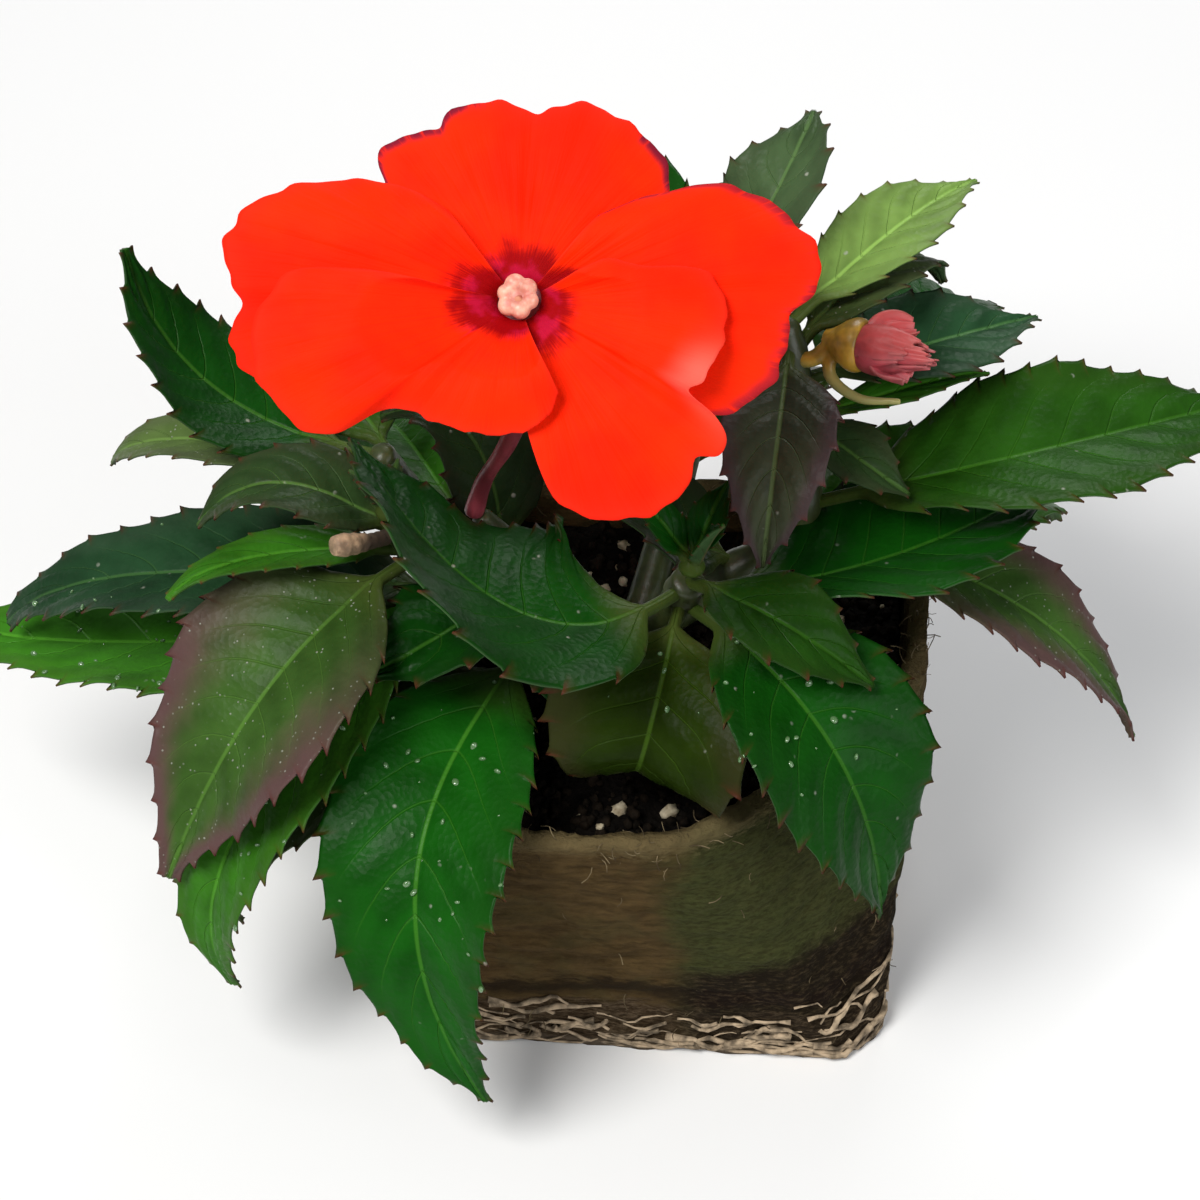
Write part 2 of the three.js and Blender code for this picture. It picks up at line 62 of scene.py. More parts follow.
LEAVES = {
    "front_left": ("front", 0.92, (-20, -24, 82), (-45, -2, 92), 35, 0, "green", 0.7),
    "front_down": ("front", 0.84, (-2, -31, 64), (-4, -21, 50), 28, 0, "olive", 1.0),
    "front_right": ("front", 0.77, (23, -32, 68), (32, -38, 39), 27, 0, "green", 0.85),
    "front_small": ("front", 0.97, (15, -23, 82), (29, -26, 73), 14, 0, "light", 0.3),
    "front_east": ("front", 0.86, (30, -4, 76), (56, 17, 75), 27, -12, "green", 1.05),
    "west_dark": ("west", 0.92, (-54, -6, 87), (-67, -7, 79), 14, 0, "dark", 1.5),
    "west_long": ("west", 0.58, (-74, -5, 67), (-99, 0, 50), 22, 0, "teal", 1.0),
    "west_young": ("west", 0.89, (-58, -14, 80), (-69, -22, 79), 8, 0, "light", 0.8),
    "west_low": ("west", 0.4, (-84, -2, 49), (-111, 9, 42), 28, 0, "light", 1.15),
    "west_bronze": ("west", 0.86, (-54, -27, 69), (-69, -41, 42), 30, 0, "bronze", 1.0),
    "west_high": ("north_west", 0.97, (-68, 15, 86), (-80, 23, 104), 21, 0, "deep", 1.0),
    "west_pale": ("north_west", 0.9, (-71, 13, 77), (-85, 19, 66), 12, 0, "grey", 1.1),
    "south_west": ("west", 0.72, (-59, -37, 49), (-61, -42, 20), 20, 0, "light", 0.95),
    "west_under": ("west", 0.2, (-54, -31, 44.5), (-61, -34, 25), 16, 0, "grey", 0.75),
    "south": ("west", 0.32, (-33, -43, 49), (-23, -56, 14), 27, 0, "green", 1.2),
    "middle_low": ("west", 0.12, (-15, -16, 63), (-12, -25, 62), 14, 0, "deep", 0.8),
    "middle_wide": ("west", 0.55, (-31, -18, 71), (-41, -24, 68), 18, 0, "deep", 0.9),
    "middle_back": ("east", 0.3, (-4, 3, 76), (-13, 6, 80), 18, 0, "dark", 0.8),
    "under_bloom": ("north_west", 0.42, (-30, 11, 82), (-43, 12, 84), 16, 0, "dark", 0.85),
    "east_long": ("east", 0.54, (53, 12, 84), (84, 33, 77), 26, 0, "light", 0.48),
    "east_low": ("east", 0.48, (50, 0, 64), (69, -2, 40), 18, 0, "bronze", 0.95),
    "east_hang": ("east", 0.92, (14, -8, 98), (13, -15, 84), 15, 0, "plum", 1.2),
    "east_back": ("east", 0.84, (37, 24, 93), (51, 35, 89), 17, 0, "teal", 1.4),
    "east_grey": ("east", 0.9, (28, 29, 103), (37, 36, 94), 13, 0, "grey", 0.85),
    "east_stub": ("east", 0.76, (26, 2, 89), (33, 0, 85), 10, 0, "dark", 1.4),
    "east_young": ("east", 0.74, (33, 16, 91), (44, 22, 89), 6, 0, "light", 0.9),
    "back_pale": ("east", 0.97, (29, 31, 107), (41, 46, 105), 13, 0, "young", 1.0),
    "back_high": ("north", 0.96, (12, 31, 112), (17, 45, 117), 17, 0, "dull", 1.0),
    "north_west": ("north_west", 0.82, (-56, 32, 76), (-74, 50, 60), 25, 0, "green", 1.3),
    "north_west_low": ("north_west", 0.5, (-44, 34, 62), (-52, 54, 42), 26, 0, "light", 0.8),
    "north": ("north", 0.82, (-6, 52, 90), (-12, 70, 70), 28, 0, "green", 1.3),
    "north_low": ("north", 0.38, (8, 46, 66), (8, 68, 40), 28, 0, "dark", 1.1),
    "north_east": ("east", 0.78, (34, 42, 84), (44, 62, 66), 22, 0, "green", 1.2),
    "north_east_low": ("east", 0.28, (42, 26, 62), (58, 42, 42), 25, 0, "light", 0.8),
    "crown_north": ("north", 0.94, (-14, 40, 102), (-34, 52, 94), 22, 0, "green", 1.2),
}

BRANCHES = {
    "crown": (((-6, -2, 28), (-7, -3, 48), (-5, -2, 60)), (4.2, 3.6)),
    "front": (((-5, -2, 56), (-1, -9, 66), (3, -14, 80)), (2.8, 2.1)),
    "west": (((-7, -3, 50), (-19, -5, 59), (-31, -6, 69), (-39, -7, 80)), (2.7, 1.9)),
    "north_west": (((-7, -3, 50), (-24, 6, 58), (-38, 10, 70), (-43, 7, 82)), (2.7, 1.8)),
    "east": (((-5, -2, 56), (8, 3, 64), (18, 5, 76), (17, 12, 90), (14, 17, 102)), (2.9, 1.8)),
    "north": (((-5, -2, 57), (-1, 12, 68), (3, 24, 84), (5, 28, 98)), (2.8, 1.8)),
    "bloom": (((-5, -2, 57), (-18, -1, 67), (-28, -1, 78)), (2.3, 1.7)),
}

# Young leaves at the shoot tips: heading and rise in degrees, and length. A tuft's brightness paints the
# light and shade on it as well as its own tone.

TUFTS = {
    "tuft_front": ((3.2, -14.5, 83), ((150, 40, 14), (60, 45, 13), (335, 66, 11)), "green", 1.0),
    "tuft_west": ((-39.7, -6.9, 83.4), ((150, 34, 8), (85, 26, 8)), "dark", 1.3),
    "tuft_east": ((13.4, 17.8, 105), ((165, 50, 11), (300, 68, 9), (225, 60, 12)), "bronze", 0.8),
}

# Wet leaves, with the number of drops on a square metre.

WET_LEAVES = {
    "front_down": 30000.0, "front_right": 30000.0, "west_long": 12000.0, "west_low": 24000.0,
    "south_west": 40000.0, "south": 30000.0,
}

# Petal rims in the flower's plane: degrees and reach from the throat; then the layer in front of the plane
# and how far the middle swells.

PETALS = {
    "petal_top": (
        (
            (150, 18), (141, 24), (138, 26.5), (132, 27.6), (124, 26.4), (118, 25.8), (115, 27),
            (103, 27.4), (95, 26.4), (88, 25), (84, 26), (77, 27.6), (67, 27.6), (54, 27.2), (45, 26),
            (39, 23.5), (30, 17),
        ),
        -3, 2.0,
    ),
    "petal_upper_left": (
        (
            (214, 24), (203, 33), (198, 36.2), (193.5, 37.9), (187.7, 37.6), (182, 36.3), (178, 37.9),
            (172, 39.2), (166, 38.4), (158, 34.6), (150, 29.5), (143, 24.8), (131, 15),
        ),
        0, 2.6,
    ),
    "petal_upper_right": (
        (
            (50, 15), (39, 24), (35.8, 27.6), (28.7, 32.8), (18.5, 37.1), (9.6, 39.3), (5, 38.2),
            (-0.8, 35.2), (-8.3, 35), (-15, 34.4), (-26, 30.5), (-33, 26), (-44, 19),
        ),
        0, 2.6,
    ),
    "petal_lower_left": (
        (
            (296, 14), (284, 17), (263, 18.4), (239, 19.6), (229, 20.6), (223.5, 22.8), (220.5, 29.5),
            (217, 31.6), (210, 33.5), (198, 34.8), (186, 32.8), (177, 28.5), (174, 20),
        ),
        6.4, 2.2,
    ),
    "petal_lower_right": (
        (
            (26, 12), (16, 16.8), (13, 21.5), (9, 25), (-1, 26.8), (-12, 27), (-23, 26.2), (-27, 25.6),
            (-29, 30), (-32, 32.6), (-36, 32.8), (-39.5, 31.3), (-48.4, 33.2), (-58.5, 32.6), (-67, 30.6),
            (-76, 27), (-83, 17),
        ),
        4, 0.8,
    ),
}

# Where a lower petal's rim folds, the right one forward and the left one back: degrees, width of the fold in
# degrees, and height.

PETAL_FOLDS = {"petal_lower_right": (-21.0, 8.0, 2.6), "petal_lower_left": (224.0, 6.0, -1.6)}

FLOWER_CENTRE = np.array((-20.0, -13.0, 128.0))
FLOWER_LEAN = math.radians(41)
THROAT_RADIUS = 2.9
COLUMN_LOBES = 6
BUD_SEAT = np.array((21.5, 14.5, 100.0))
BUD_AXIS = np.array((33.0, 9.5, 102.5)) - BUD_SEAT

# The bud's rolled petals: the end as a share of the bud's length, the radius, the turn of the first edge in
# radians and a seed.

FURL_START = 0.25
FURLS = ((1.0, 3.9, 0.2, 0.0), (1.12, 3.2, 2.3, 1.9), (1.2, 2.4, 4.1, 3.7), (0.9, 4.3, 3.3, 5.1))

# The bud's loose flaps: two points after the throat, half the width and the direction in which it is cupped.

FLAPS = (
    ((28.5, 13.6, 103.4), (32.5, 14.6, 102.6), 2.6, (0, 0, 1.0)),
    ((28.3, 9.6, 99.6), (31.6, 7.4, 99.4), 2.5, (0.3, 0, 1.0)),
)

# The pot: how round its corners are, how wide the dent cuts the front right corner, the height of the floor
# and the gap between soil and wall.

CORNER_BEND = 6
DENT_AT_BASE = 5
DENT_AT_RIM = 33
POT_FLOOR = 4
SOIL_GAP = 0.5

# What lies on the soil: dark and pale colour, number on a square metre, smallest and largest radius in metres
# and a seed.

SOIL_GRAINS = {
    "soil_crumbs": ((0.002, 0.0015, 0.001), (0.012, 0.008, 0.005), 260000.0, 0.0004, 0.0013, 21),
    "perlite_grains": ((0.22, 0.17, 0.1), (0.52, 0.45, 0.32), 20000.0, 0.0005, 0.0016, 41),
}


# Sizes and colours that a user may change


class LeafSettings(bpy.types.PropertyGroup):
    """Sizes and colours of the leaves."""

    blade_thickness: FloatProperty(
        name="Blade Thickness", description="Thickness of a blade beside its midrib",
        default=0.0007, unit="LENGTH",
    )
    fold: FloatProperty(
        name="Fold", description="Angle by which each half of a blade rises from the midrib",
        default=math.radians(14), subtype="ANGLE",
    )
    tooth_spacing: FloatProperty(
        name="Tooth Spacing", description="Distance between the teeth along a blade's edge",
        default=0.0046, unit="LENGTH",
    )
    tooth_height: FloatProperty(
        name="Tooth Height", description="How far a tooth stands out of the edge of a wide blade",
        default=0.0017, unit="LENGTH",
    )
    quilt_height: FloatProperty(
        name="Quilt Height", description="How far the blade swells between two side veins",
        default=0.0006, unit="LENGTH",
    )
    vein_pairs: IntProperty(
        name="Vein Pairs", description="Number of side veins on each half of a long blade", default=9, min=3,
    )
    green: FloatVectorProperty(
        name="Green", description="Colour of a full green leaf", default=(0.004, 0.056, 0.0025),
        subtype="COLOR",
    )
    light: FloatVectorProperty(
        name="Light", description="Colour of a young bright leaf", default=(0.03, 0.14, 0.008),
        subtype="COLOR",
    )
    # The olive colour holds painted shade as well as the leaf's own tone: that leaf hangs low in front, under
    # the others.
    olive: FloatVectorProperty(
        name="Olive", description="Colour of the leaf that hangs over the front wall",
        default=(0.013, 0.027, 0.0015),
        subtype="COLOR",
    )
    dark: FloatVectorProperty(
        name="Dark", description="Colour of a shaded leaf", default=(0.015, 0.033, 0.009), subtype="COLOR",
    )
    teal: FloatVectorProperty(
        name="Teal", description="Colour of a blue-green leaf", default=(0.013, 0.045, 0.017),
        subtype="COLOR",
    )
    bronze: FloatVectorProperty(
        name="Bronze", description="Colour of the middle of a bronze leaf", default=(0.036, 0.088, 0.014),
        subtype="COLOR",
    )
    plum: FloatVectorProperty(
        name="Plum", description="Colour of the purple leaf under the bud", default=(0.035, 0.042, 0.022),
        subtype="COLOR",
    )
    grey: FloatVectorProperty(
        name="Grey", description="Colour of a dull grey-green leaf", default=(0.07, 0.115, 0.03),
        subtype="COLOR",
    )
    deep: FloatVectorProperty(
        name="Deep", description="Colour of a deep green leaf in the shade", default=(0.003, 0.04, 0.002),
        subtype="COLOR",
    )
    young: FloatVectorProperty(
        name="Young", description="Colour of the pale leaf behind the bud", default=(0.16, 0.27, 0.06),
        subtype="COLOR",
    )
    dull: FloatVectorProperty(
        name="Dull", description="Colour of the dull leaf behind the flower", default=(0.05, 0.09, 0.035),
        subtype="COLOR",
    )
    vein: FloatVectorProperty(
        name="Vein", description="Colour that the midrib has over the blade's own",
        default=(0.035, 0.075, 0.009),
        subtype="COLOR",
    )
    tooth: FloatVectorProperty(
        name="Tooth", description="Colour of the tooth tips", default=(0.09, 0.018, 0.012), subtype="COLOR",
    )


class FlowerSettings(bpy.types.PropertyGroup):
    """Sizes and colours of the flower, the bud and the stems."""

    petal_thickness: FloatProperty(
        name="Petal Thickness", description="Thickness of a petal", default=0.0006, unit="LENGTH",
    )
    ruffle: FloatProperty(
        name="Ruffle", description="How far the petals' rims wave", default=0.0011, unit="LENGTH",
    )
    petal: FloatVectorProperty(
        name="Petal", description="Colour of the petals", default=(0.96, 0.019, 0.0008), subtype="COLOR",
    )
    rim: FloatVectorProperty(
        name="Rim", description="Colour of the petals' thin rims", default=(0.8, 0.03, 0.02), subtype="COLOR",
    )
    throat: FloatVectorProperty(
        name="Throat", description="Colour of the petals in the throat", default=(0.28, 0.0006, 0.003),
        subtype="COLOR",
    )
    column: FloatVectorProperty(
        name="Column", description="Colour of the cap in the throat", default=(0.8, 0.45, 0.32),
        subtype="COLOR",
    )
    stem: FloatVectorProperty(
        name="Stem", description="Colour of the stems", default=(0.045, 0.06, 0.016), subtype="COLOR",
    )
    stalk: FloatVectorProperty(
        name="Flower Stalk", description="Colour of the flower's stalk", default=(0.32, 0.05, 0.07),
        subtype="COLOR",
    )
    calyx: FloatVectorProperty(
        name="Calyx", description="Colour of the bud's calyx", default=(0.4, 0.23, 0.025), subtype="COLOR",
    )
    bud_petal: FloatVectorProperty(
        name="Bud Petal", description="Colour of the bud's furled petals", default=(0.42, 0.06, 0.08),
        subtype="COLOR",
    )
    spur: FloatVectorProperty(
        name="Spur", description="Colour of the bud's pale spur", default=(0.4, 0.38, 0.13), subtype="COLOR",
    )
    spent: FloatVectorProperty(
        name="Spent Stalk", description="Colour of the stub of an older flower", default=(0.42, 0.28, 0.17),
        subtype="COLOR",
    )


class PotSettings(bpy.types.PropertyGroup):
    """Sizes and colours of the pot and its soil."""

    half_top: FloatProperty(
        name="Half Width at Rim", description="Half the pot's width at its rim", default=0.038, unit="LENGTH",
    )
    half_base: FloatProperty(
        name="Half Width at Base", description="Half the pot's width at its base", default=0.034,
        unit="LENGTH",
    )
    height: FloatProperty(
        name="Height", description="Height of the pot's rim", default=0.05, unit="LENGTH",
    )
    wall: FloatProperty(
        name="Wall", description="Thickness of the pressed fibre wall", default=0.003, unit="LENGTH",
    )
    fray: FloatProperty(
        name="Fray", description="How unevenly the rim is torn", default=0.0016, unit="LENGTH",
    )
    soil_level: FloatProperty(
        name="Soil Level", description="Height of the soil in the pot", default=0.043, unit="LENGTH",
    )
    roots: IntProperty(
        name="Roots", description="Number of root strands on the lower wall", default=210, min=0,
    )
    fibres: FloatProperty(
        name="Fibres", description="Loose fibres on a square metre of wall", default=90000.0, min=0,
    )
    wall_colour: FloatVectorProperty(
        name="Wall Colour", description="Colour of the damp fibre wall", default=(0.082, 0.052, 0.02),
        subtype="COLOR",
    )
    rim_colour: FloatVectorProperty(
        name="Rim Colour", description="Colour of the dry torn rim", default=(0.17, 0.13, 0.06),
        subtype="COLOR",
    )
    moss_colour: FloatVectorProperty(
        name="Moss Colour", description="Colour of the mossy patch on the dent", default=(0.052, 0.064, 0.02),
        subtype="COLOR",
    )
    root_colour: FloatVectorProperty(
        name="Root Colour", description="Colour of the roots", default=(0.5, 0.38, 0.25), subtype="COLOR",
    )
    soil_colour: FloatVectorProperty(
        name="Soil Colour", description="Colour of the damp soil", default=(0.003, 0.0023, 0.0018),
        subtype="COLOR",
    )


# Shader expressions


class Value:
    """A node's output: arithmetic on it adds the Math nodes that work it out."""

    def __init__(self, tree, socket):
        self.tree = tree
        self.socket = socket

    def worked(self, operation, *others):
        return add_node(self.tree, "ShaderNodeMath", {"operation": operation}, [self, *others])

    def __add__(self, other):
        return self.worked("ADD", other)

    def __radd__(self, other):
        return self.worked("ADD", other)

    def __sub__(self, other):
        return self.worked("SUBTRACT", other)

    def __rsub__(self, other):
        return add_node(self.tree, "ShaderNodeMath", {"operation": "SUBTRACT"}, [other, self])

    def __mul__(self, other):
        return self.worked("MULTIPLY", other)

    def __rmul__(self, other):
        return self.worked("MULTIPLY", other)

    def __abs__(self):
        return self.worked("ABSOLUTE")

    def fraction(self):
        return self.worked("FRACT")

    def ramp(self, low, high):
        """0 below low, 1 above high, smooth between; low may lie above high."""
        start, end, first, last = (low, high, 0.0, 1.0) if low < high else (high, low, 1.0, 0.0)
        return add_node(
            self.tree, "ShaderNodeMapRange", {"interpolation_type": "SMOOTHSTEP"},
            [self, start, end, first, last],
        )


def add_node(tree, kind, settings, inputs, output=0):
    """Add a node, set its settings first, then its inputs from values or links, by order or by name."""
    node = tree.nodes.new(kind)
    for key, setting in settings.items():
        setattr(node, key, setting)
    pairs = inputs.items() if isinstance(inputs, dict) else enumerate(inputs)
    for key, given in pairs:
        if isinstance(given, Value):
            tree.links.new(given.socket, node.inputs[key])
        elif node.inputs[key].type == "RGBA":
            node.inputs[key].default_value = (*given, 1.0)
        else:
            node.inputs[key].default_value = given
    return Value(tree, node.outputs[output])


def shaded(tone, share):
    """A colour made darker or brighter."""
    return tuple(min(1.0, share * c) for c in tone)


class Finish:
    """A material whose colour, roughness and bump are put together from expressions."""

    def __init__(self, name):
        self.material = bpy.data.materials.new(name)
        self.material.use_nodes = True
        self.tree = self.material.node_tree
        self.tree.nodes.clear()
        self.place = self.node("ShaderNodeTexCoord", {}, [], "Object")

    def node(self, kind, settings, inputs, output=0):
        return add_node(self.tree, kind, settings, inputs, output)

    def attribute(self, name):
        return self.node("ShaderNodeAttribute", {"attribute_name": name}, [], "Fac")

    def side(self, axis):
        """The place along one axis, in metres."""
        return self.node("ShaderNodeSeparateXYZ", {}, [self.place], axis)

    def stretched(self, scale):
        return self.node("ShaderNodeMapping", {}, {"Vector": self.place, "Scale": scale})

    def cloud(self, scale, detail=4.0, roughness=0.55, place=None):
        return self.node(
            "ShaderNodeTexNoise", {},
            {"Vector": place or self.place, "Scale": scale, "Detail": detail, "Roughness": roughness}, "Fac",
        )

    def cells(self, scale, feature="F1"):
        return self.node(
            "ShaderNodeTexVoronoi", {"feature": feature}, {"Vector": self.place, "Scale": scale}, "Distance",
        )

    def mixed(self, amount, first, second):
        return self.node("ShaderNodeMix", {"data_type": "RGBA"}, {0: amount, 6: first, 7: second}, 2)

    def mottled(self, amount, tone, dark, bright):
        """A tone that goes from a darker to a brighter share of itself."""
        return self.mixed(amount, shaded(tone, dark), shaded(tone, bright))

    def dimmed(self, colour, amount):
        return self.node("ShaderNodeVectorMath", {"operation": "SCALE"}, {0: colour, "Scale": amount})

    def finished(self, colour, roughness, relief=None, relief_height=0.0003, strength=1.0, **uniform):
        """Close the material; uniform holds values that are the same all over."""
        inputs = {"Base Color": colour, "Roughness": roughness}
        if relief is not None:
            inputs["Normal"] = self.node(
                "ShaderNodeBump", {}, {"Strength": strength, "Distance": relief_height, "Height": relief},
            )
        for key, amount in uniform.items():
            inputs[key.replace("_", " ").title().replace("Ior", "IOR")] = amount
        shader = self.node("ShaderNodeBsdfPrincipled", {}, inputs)
        end = self.tree.nodes.new("ShaderNodeOutputMaterial")
        self.tree.links.new(shader.socket, end.inputs["Surface"])
        return self.material


# Curves and skins, in millimetres


def smooth(low, high, x):
    """0 below low, 1 above high, smooth between."""
    share = np.clip((x - low) / (high - low), 0, 1)
    return share * share * (3 - 2 * share)


def doubled(grid):
    """Values for the two faces of a thin skin: across its front, then back across its rear."""
    return np.concatenate((grid, grid[:, ::-1]), 1)


def spread_along(points, shares):
    """Points at even shares of the length of a dense polyline, with their directions."""
    steps = np.linalg.norm(np.diff(points, axis=0), axis=1)
    lengths = np.concatenate(([0], np.cumsum(steps)))
    wanted = np.asarray(shares) * lengths[-1]
    placed = np.stack([np.interp(wanted, lengths, points[:, k]) for k in range(3)], 1)
    ahead = np.stack([np.interp(wanted + 0.02, lengths, points[:, k]) for k in range(3)], 1)
    behind = np.stack([np.interp(wanted - 0.02, lengths, points[:, k]) for k in range(3)], 1)
    along = ahead - behind
    along /= np.maximum(np.linalg.norm(along, axis=1, keepdims=True), 1e-9)
    return placed, along, lengths[-1]


def rounded_path(points, steps=48):
    """A centripetal curve through the points, as a dense polyline."""
    knots = np.asarray(points, float)
    knots = np.vstack((2 * knots[0] - knots[1], knots, 2 * knots[-1] - knots[-2]))
    dense = []
    for k in range(1, len(knots) - 2):
        gaps = [max(np.sum((knots[k + j] - knots[k + j - 1]) ** 2) ** 0.25, 1e-4) for j in range(3)]
        leave = (
            (knots[k] - knots[k - 1]) / gaps[0] - (knots[k + 1] - knots[k - 1]) / (gaps[0] + gaps[1])
            + (knots[k + 1] - knots[k]) / gaps[1]
        ) * gaps[1]
        arrive = (
            (knots[k + 1] - knots[k]) / gaps[1] - (knots[k + 2] - knots[k]) / (gaps[1] + gaps[2])
            + (knots[k + 2] - knots[k + 1]) / gaps[2]
        ) * gaps[1]
        t = np.linspace(0, 1, steps, endpoint=k == len(knots) - 3)[:, None]
        dense.append(
            (2 * t ** 3 - 3 * t ** 2 + 1) * knots[k] + (t ** 3 - 2 * t ** 2 + t) * leave
            + (3 * t ** 2 - 2 * t ** 3) * knots[k + 1] + (t ** 3 - t ** 2) * arrive
        )
    return np.vstack(dense)


def arched_path(start, middle, tip, steps=160):
    """A single arch from start to tip that passes through the middle point."""
    control = 2 * middle - 0.5 * start - 0.5 * tip
    t = np.linspace(0, 1, steps)[:, None]
    return (1 - t) ** 2 * start + 2 * t * (1 - t) * control + t ** 2 * tip


def branch_point(name, share):
    """The point at a share of a branch's length."""
    path = rounded_path(BRANCHES[name][0])
    return spread_along(path, [share])[0][0]


class Skin:
    """Collects rings of points into one closed mesh, with named values at the points."""

    def __init__(self):
        self.points = []
        self.faces = []
        self.values = {}
        self.count = 0

    def add_rings(self, rings, values=None, facing=False):
        """Close a stack of rings; facing caps join a ring's first half to its second half."""
        rings = np.asarray(rings, float)
        rows, size, _ = rings.shape
        index = self.count + np.arange(rows * size).reshape(rows, size)
        ahead = np.roll(index, -1, axis=1)
        walls = np.stack((index[:-1], ahead[:-1], ahead[1:], index[1:]), -1).reshape(-1, 4)
        self.faces.extend(walls.tolist())
        if facing:
            half = size // 2
            for row, order in ((0, -1), (rows - 1, 1)):
                for k in range(half - 1):
                    quad = [index[row, place] for place in (k, k + 1, size - 2 - k, size - 1 - k)]
                    self.faces.append([int(q) for q in quad[::order]])
        else:
            self.faces.append([int(q) for q in index[0][::-1]])
            self.faces.append([int(q) for q in index[-1]])
        self.points.append(rings.reshape(-1, 3))
        for key, given in (values or {}).items():
            self.values.setdefault(key, []).append(np.broadcast_to(given, (rows, size)).reshape(-1))
        self.count += rows * size

    def add_tube(self, points, radii, sides):
        """Add a round tube along the curve through the points."""
        self.add_rings(tube_rings(rounded_path(points), radii, sides))

    def piece(self, name, material):
        """The finished object, in metres."""
        mesh = bpy.data.meshes.new(name)
        mesh.from_pydata((np.vstack(self.points) * MM).tolist(), [], self.faces)
        for key, stored in self.values.items():
            attribute = mesh.attributes.new(key, "FLOAT", "POINT")
            attribute.data.foreach_set("value", np.concatenate(stored).astype(np.float32))
        return finished_piece(name, mesh, material)


def placed_piece(name, data):
    """Put a mesh, light or camera in the scene as it is."""
    piece = bpy.data.objects.new(name, data)
    bpy.context.scene.collection.objects.link(piece)
    return piece


def finished_piece(name, mesh, material):
    """Put a mesh in the scene with its faces pointing outwards."""
    shape = bmesh.new()
    shape.from_mesh(mesh)
    bmesh.ops.recalc_face_normals(shape, faces=shape.faces)
    shape.to_mesh(mesh)
    shape.free()
    mesh.polygons.foreach_set("use_smooth", [True] * len(mesh.polygons))
    if material is not None:
        mesh.materials.clear()
        mesh.materials.append(material)
    return placed_piece(name, mesh)


def plain_mesh(piece, name, material):
    """Swap a piece with live modifiers for the mesh they make."""
    evaluated = piece.evaluated_get(bpy.context.evaluated_depsgraph_get())
    mesh = bpy.data.meshes.new_from_object(evaluated)
    mesh.name = name
    bpy.data.objects.remove(piece)
    return finished_piece(name, mesh, material)


def fused(piece, name, material, voxel, rounds=4):
    """Melt overlapping closed skins into one smooth skin."""
    remesh = piece.modifiers.new("Fuse", "REMESH")
    remesh.mode = "VOXEL"
    remesh.voxel_size = voxel * MM
    relax = piece.modifiers.new("Relax", "SMOOTH")
    relax.factor = 0.5
    relax.iterations = rounds
    bpy.context.view_layer.update()
    return plain_mesh(piece, name, material)


def settle(piece, slot, *nodes):
    """Hand a finished piece to the frame."""
    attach(piece, PLANT_BODY)
    if nodes:
        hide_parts(*nodes)


def tube_rings(path, radii, sides):
    """Rings round a path, with the radius at each of its points."""
    placed, along, _ = spread_along(path, np.linspace(0, 1, len(radii)))
    reference = np.array((1.0, 0, 0)) if abs(along[0][2]) > 0.9 else np.array((0, 0, 1.0))
    side = np.cross(along[0], reference)
    turn = 2 * np.pi * np.arange(sides) / sides
    rings = []
    for point, direction, radius in zip(placed, along, radii):
        side = side - direction * side.dot(direction)
        side /= np.linalg.norm(side)
        up = np.cross(direction, side)
        rings.append(point + radius * (np.cos(turn)[:, None] * side + np.sin(turn)[:, None] * up))
    return np.array(rings)


# Leaves

BLADE_SHARES = np.array([0.0, 0.05, 0.12, 0.22, 0.34, 0.47, 0.6, 0.72, 0.82, 0.9, 0.96, 1.0])
TOOTH_PHASES = ((0.0, 0.0), (0.24, 0.06), (0.46, 0.16), (0.62, 0.34), (0.74, 0.68), (0.82, 1.0), (0.9, 0.22))


def blade_outline(t):
    """Half the blade's width at t along it, as a share of the widest."""
    base, taper = 0.9, 1.4
    widest = base / (base + taper)
    t = np.clip(t, 0, 1)
    return (t / widest) ** base * ((1 - t) / (1 - widest)) ** taper


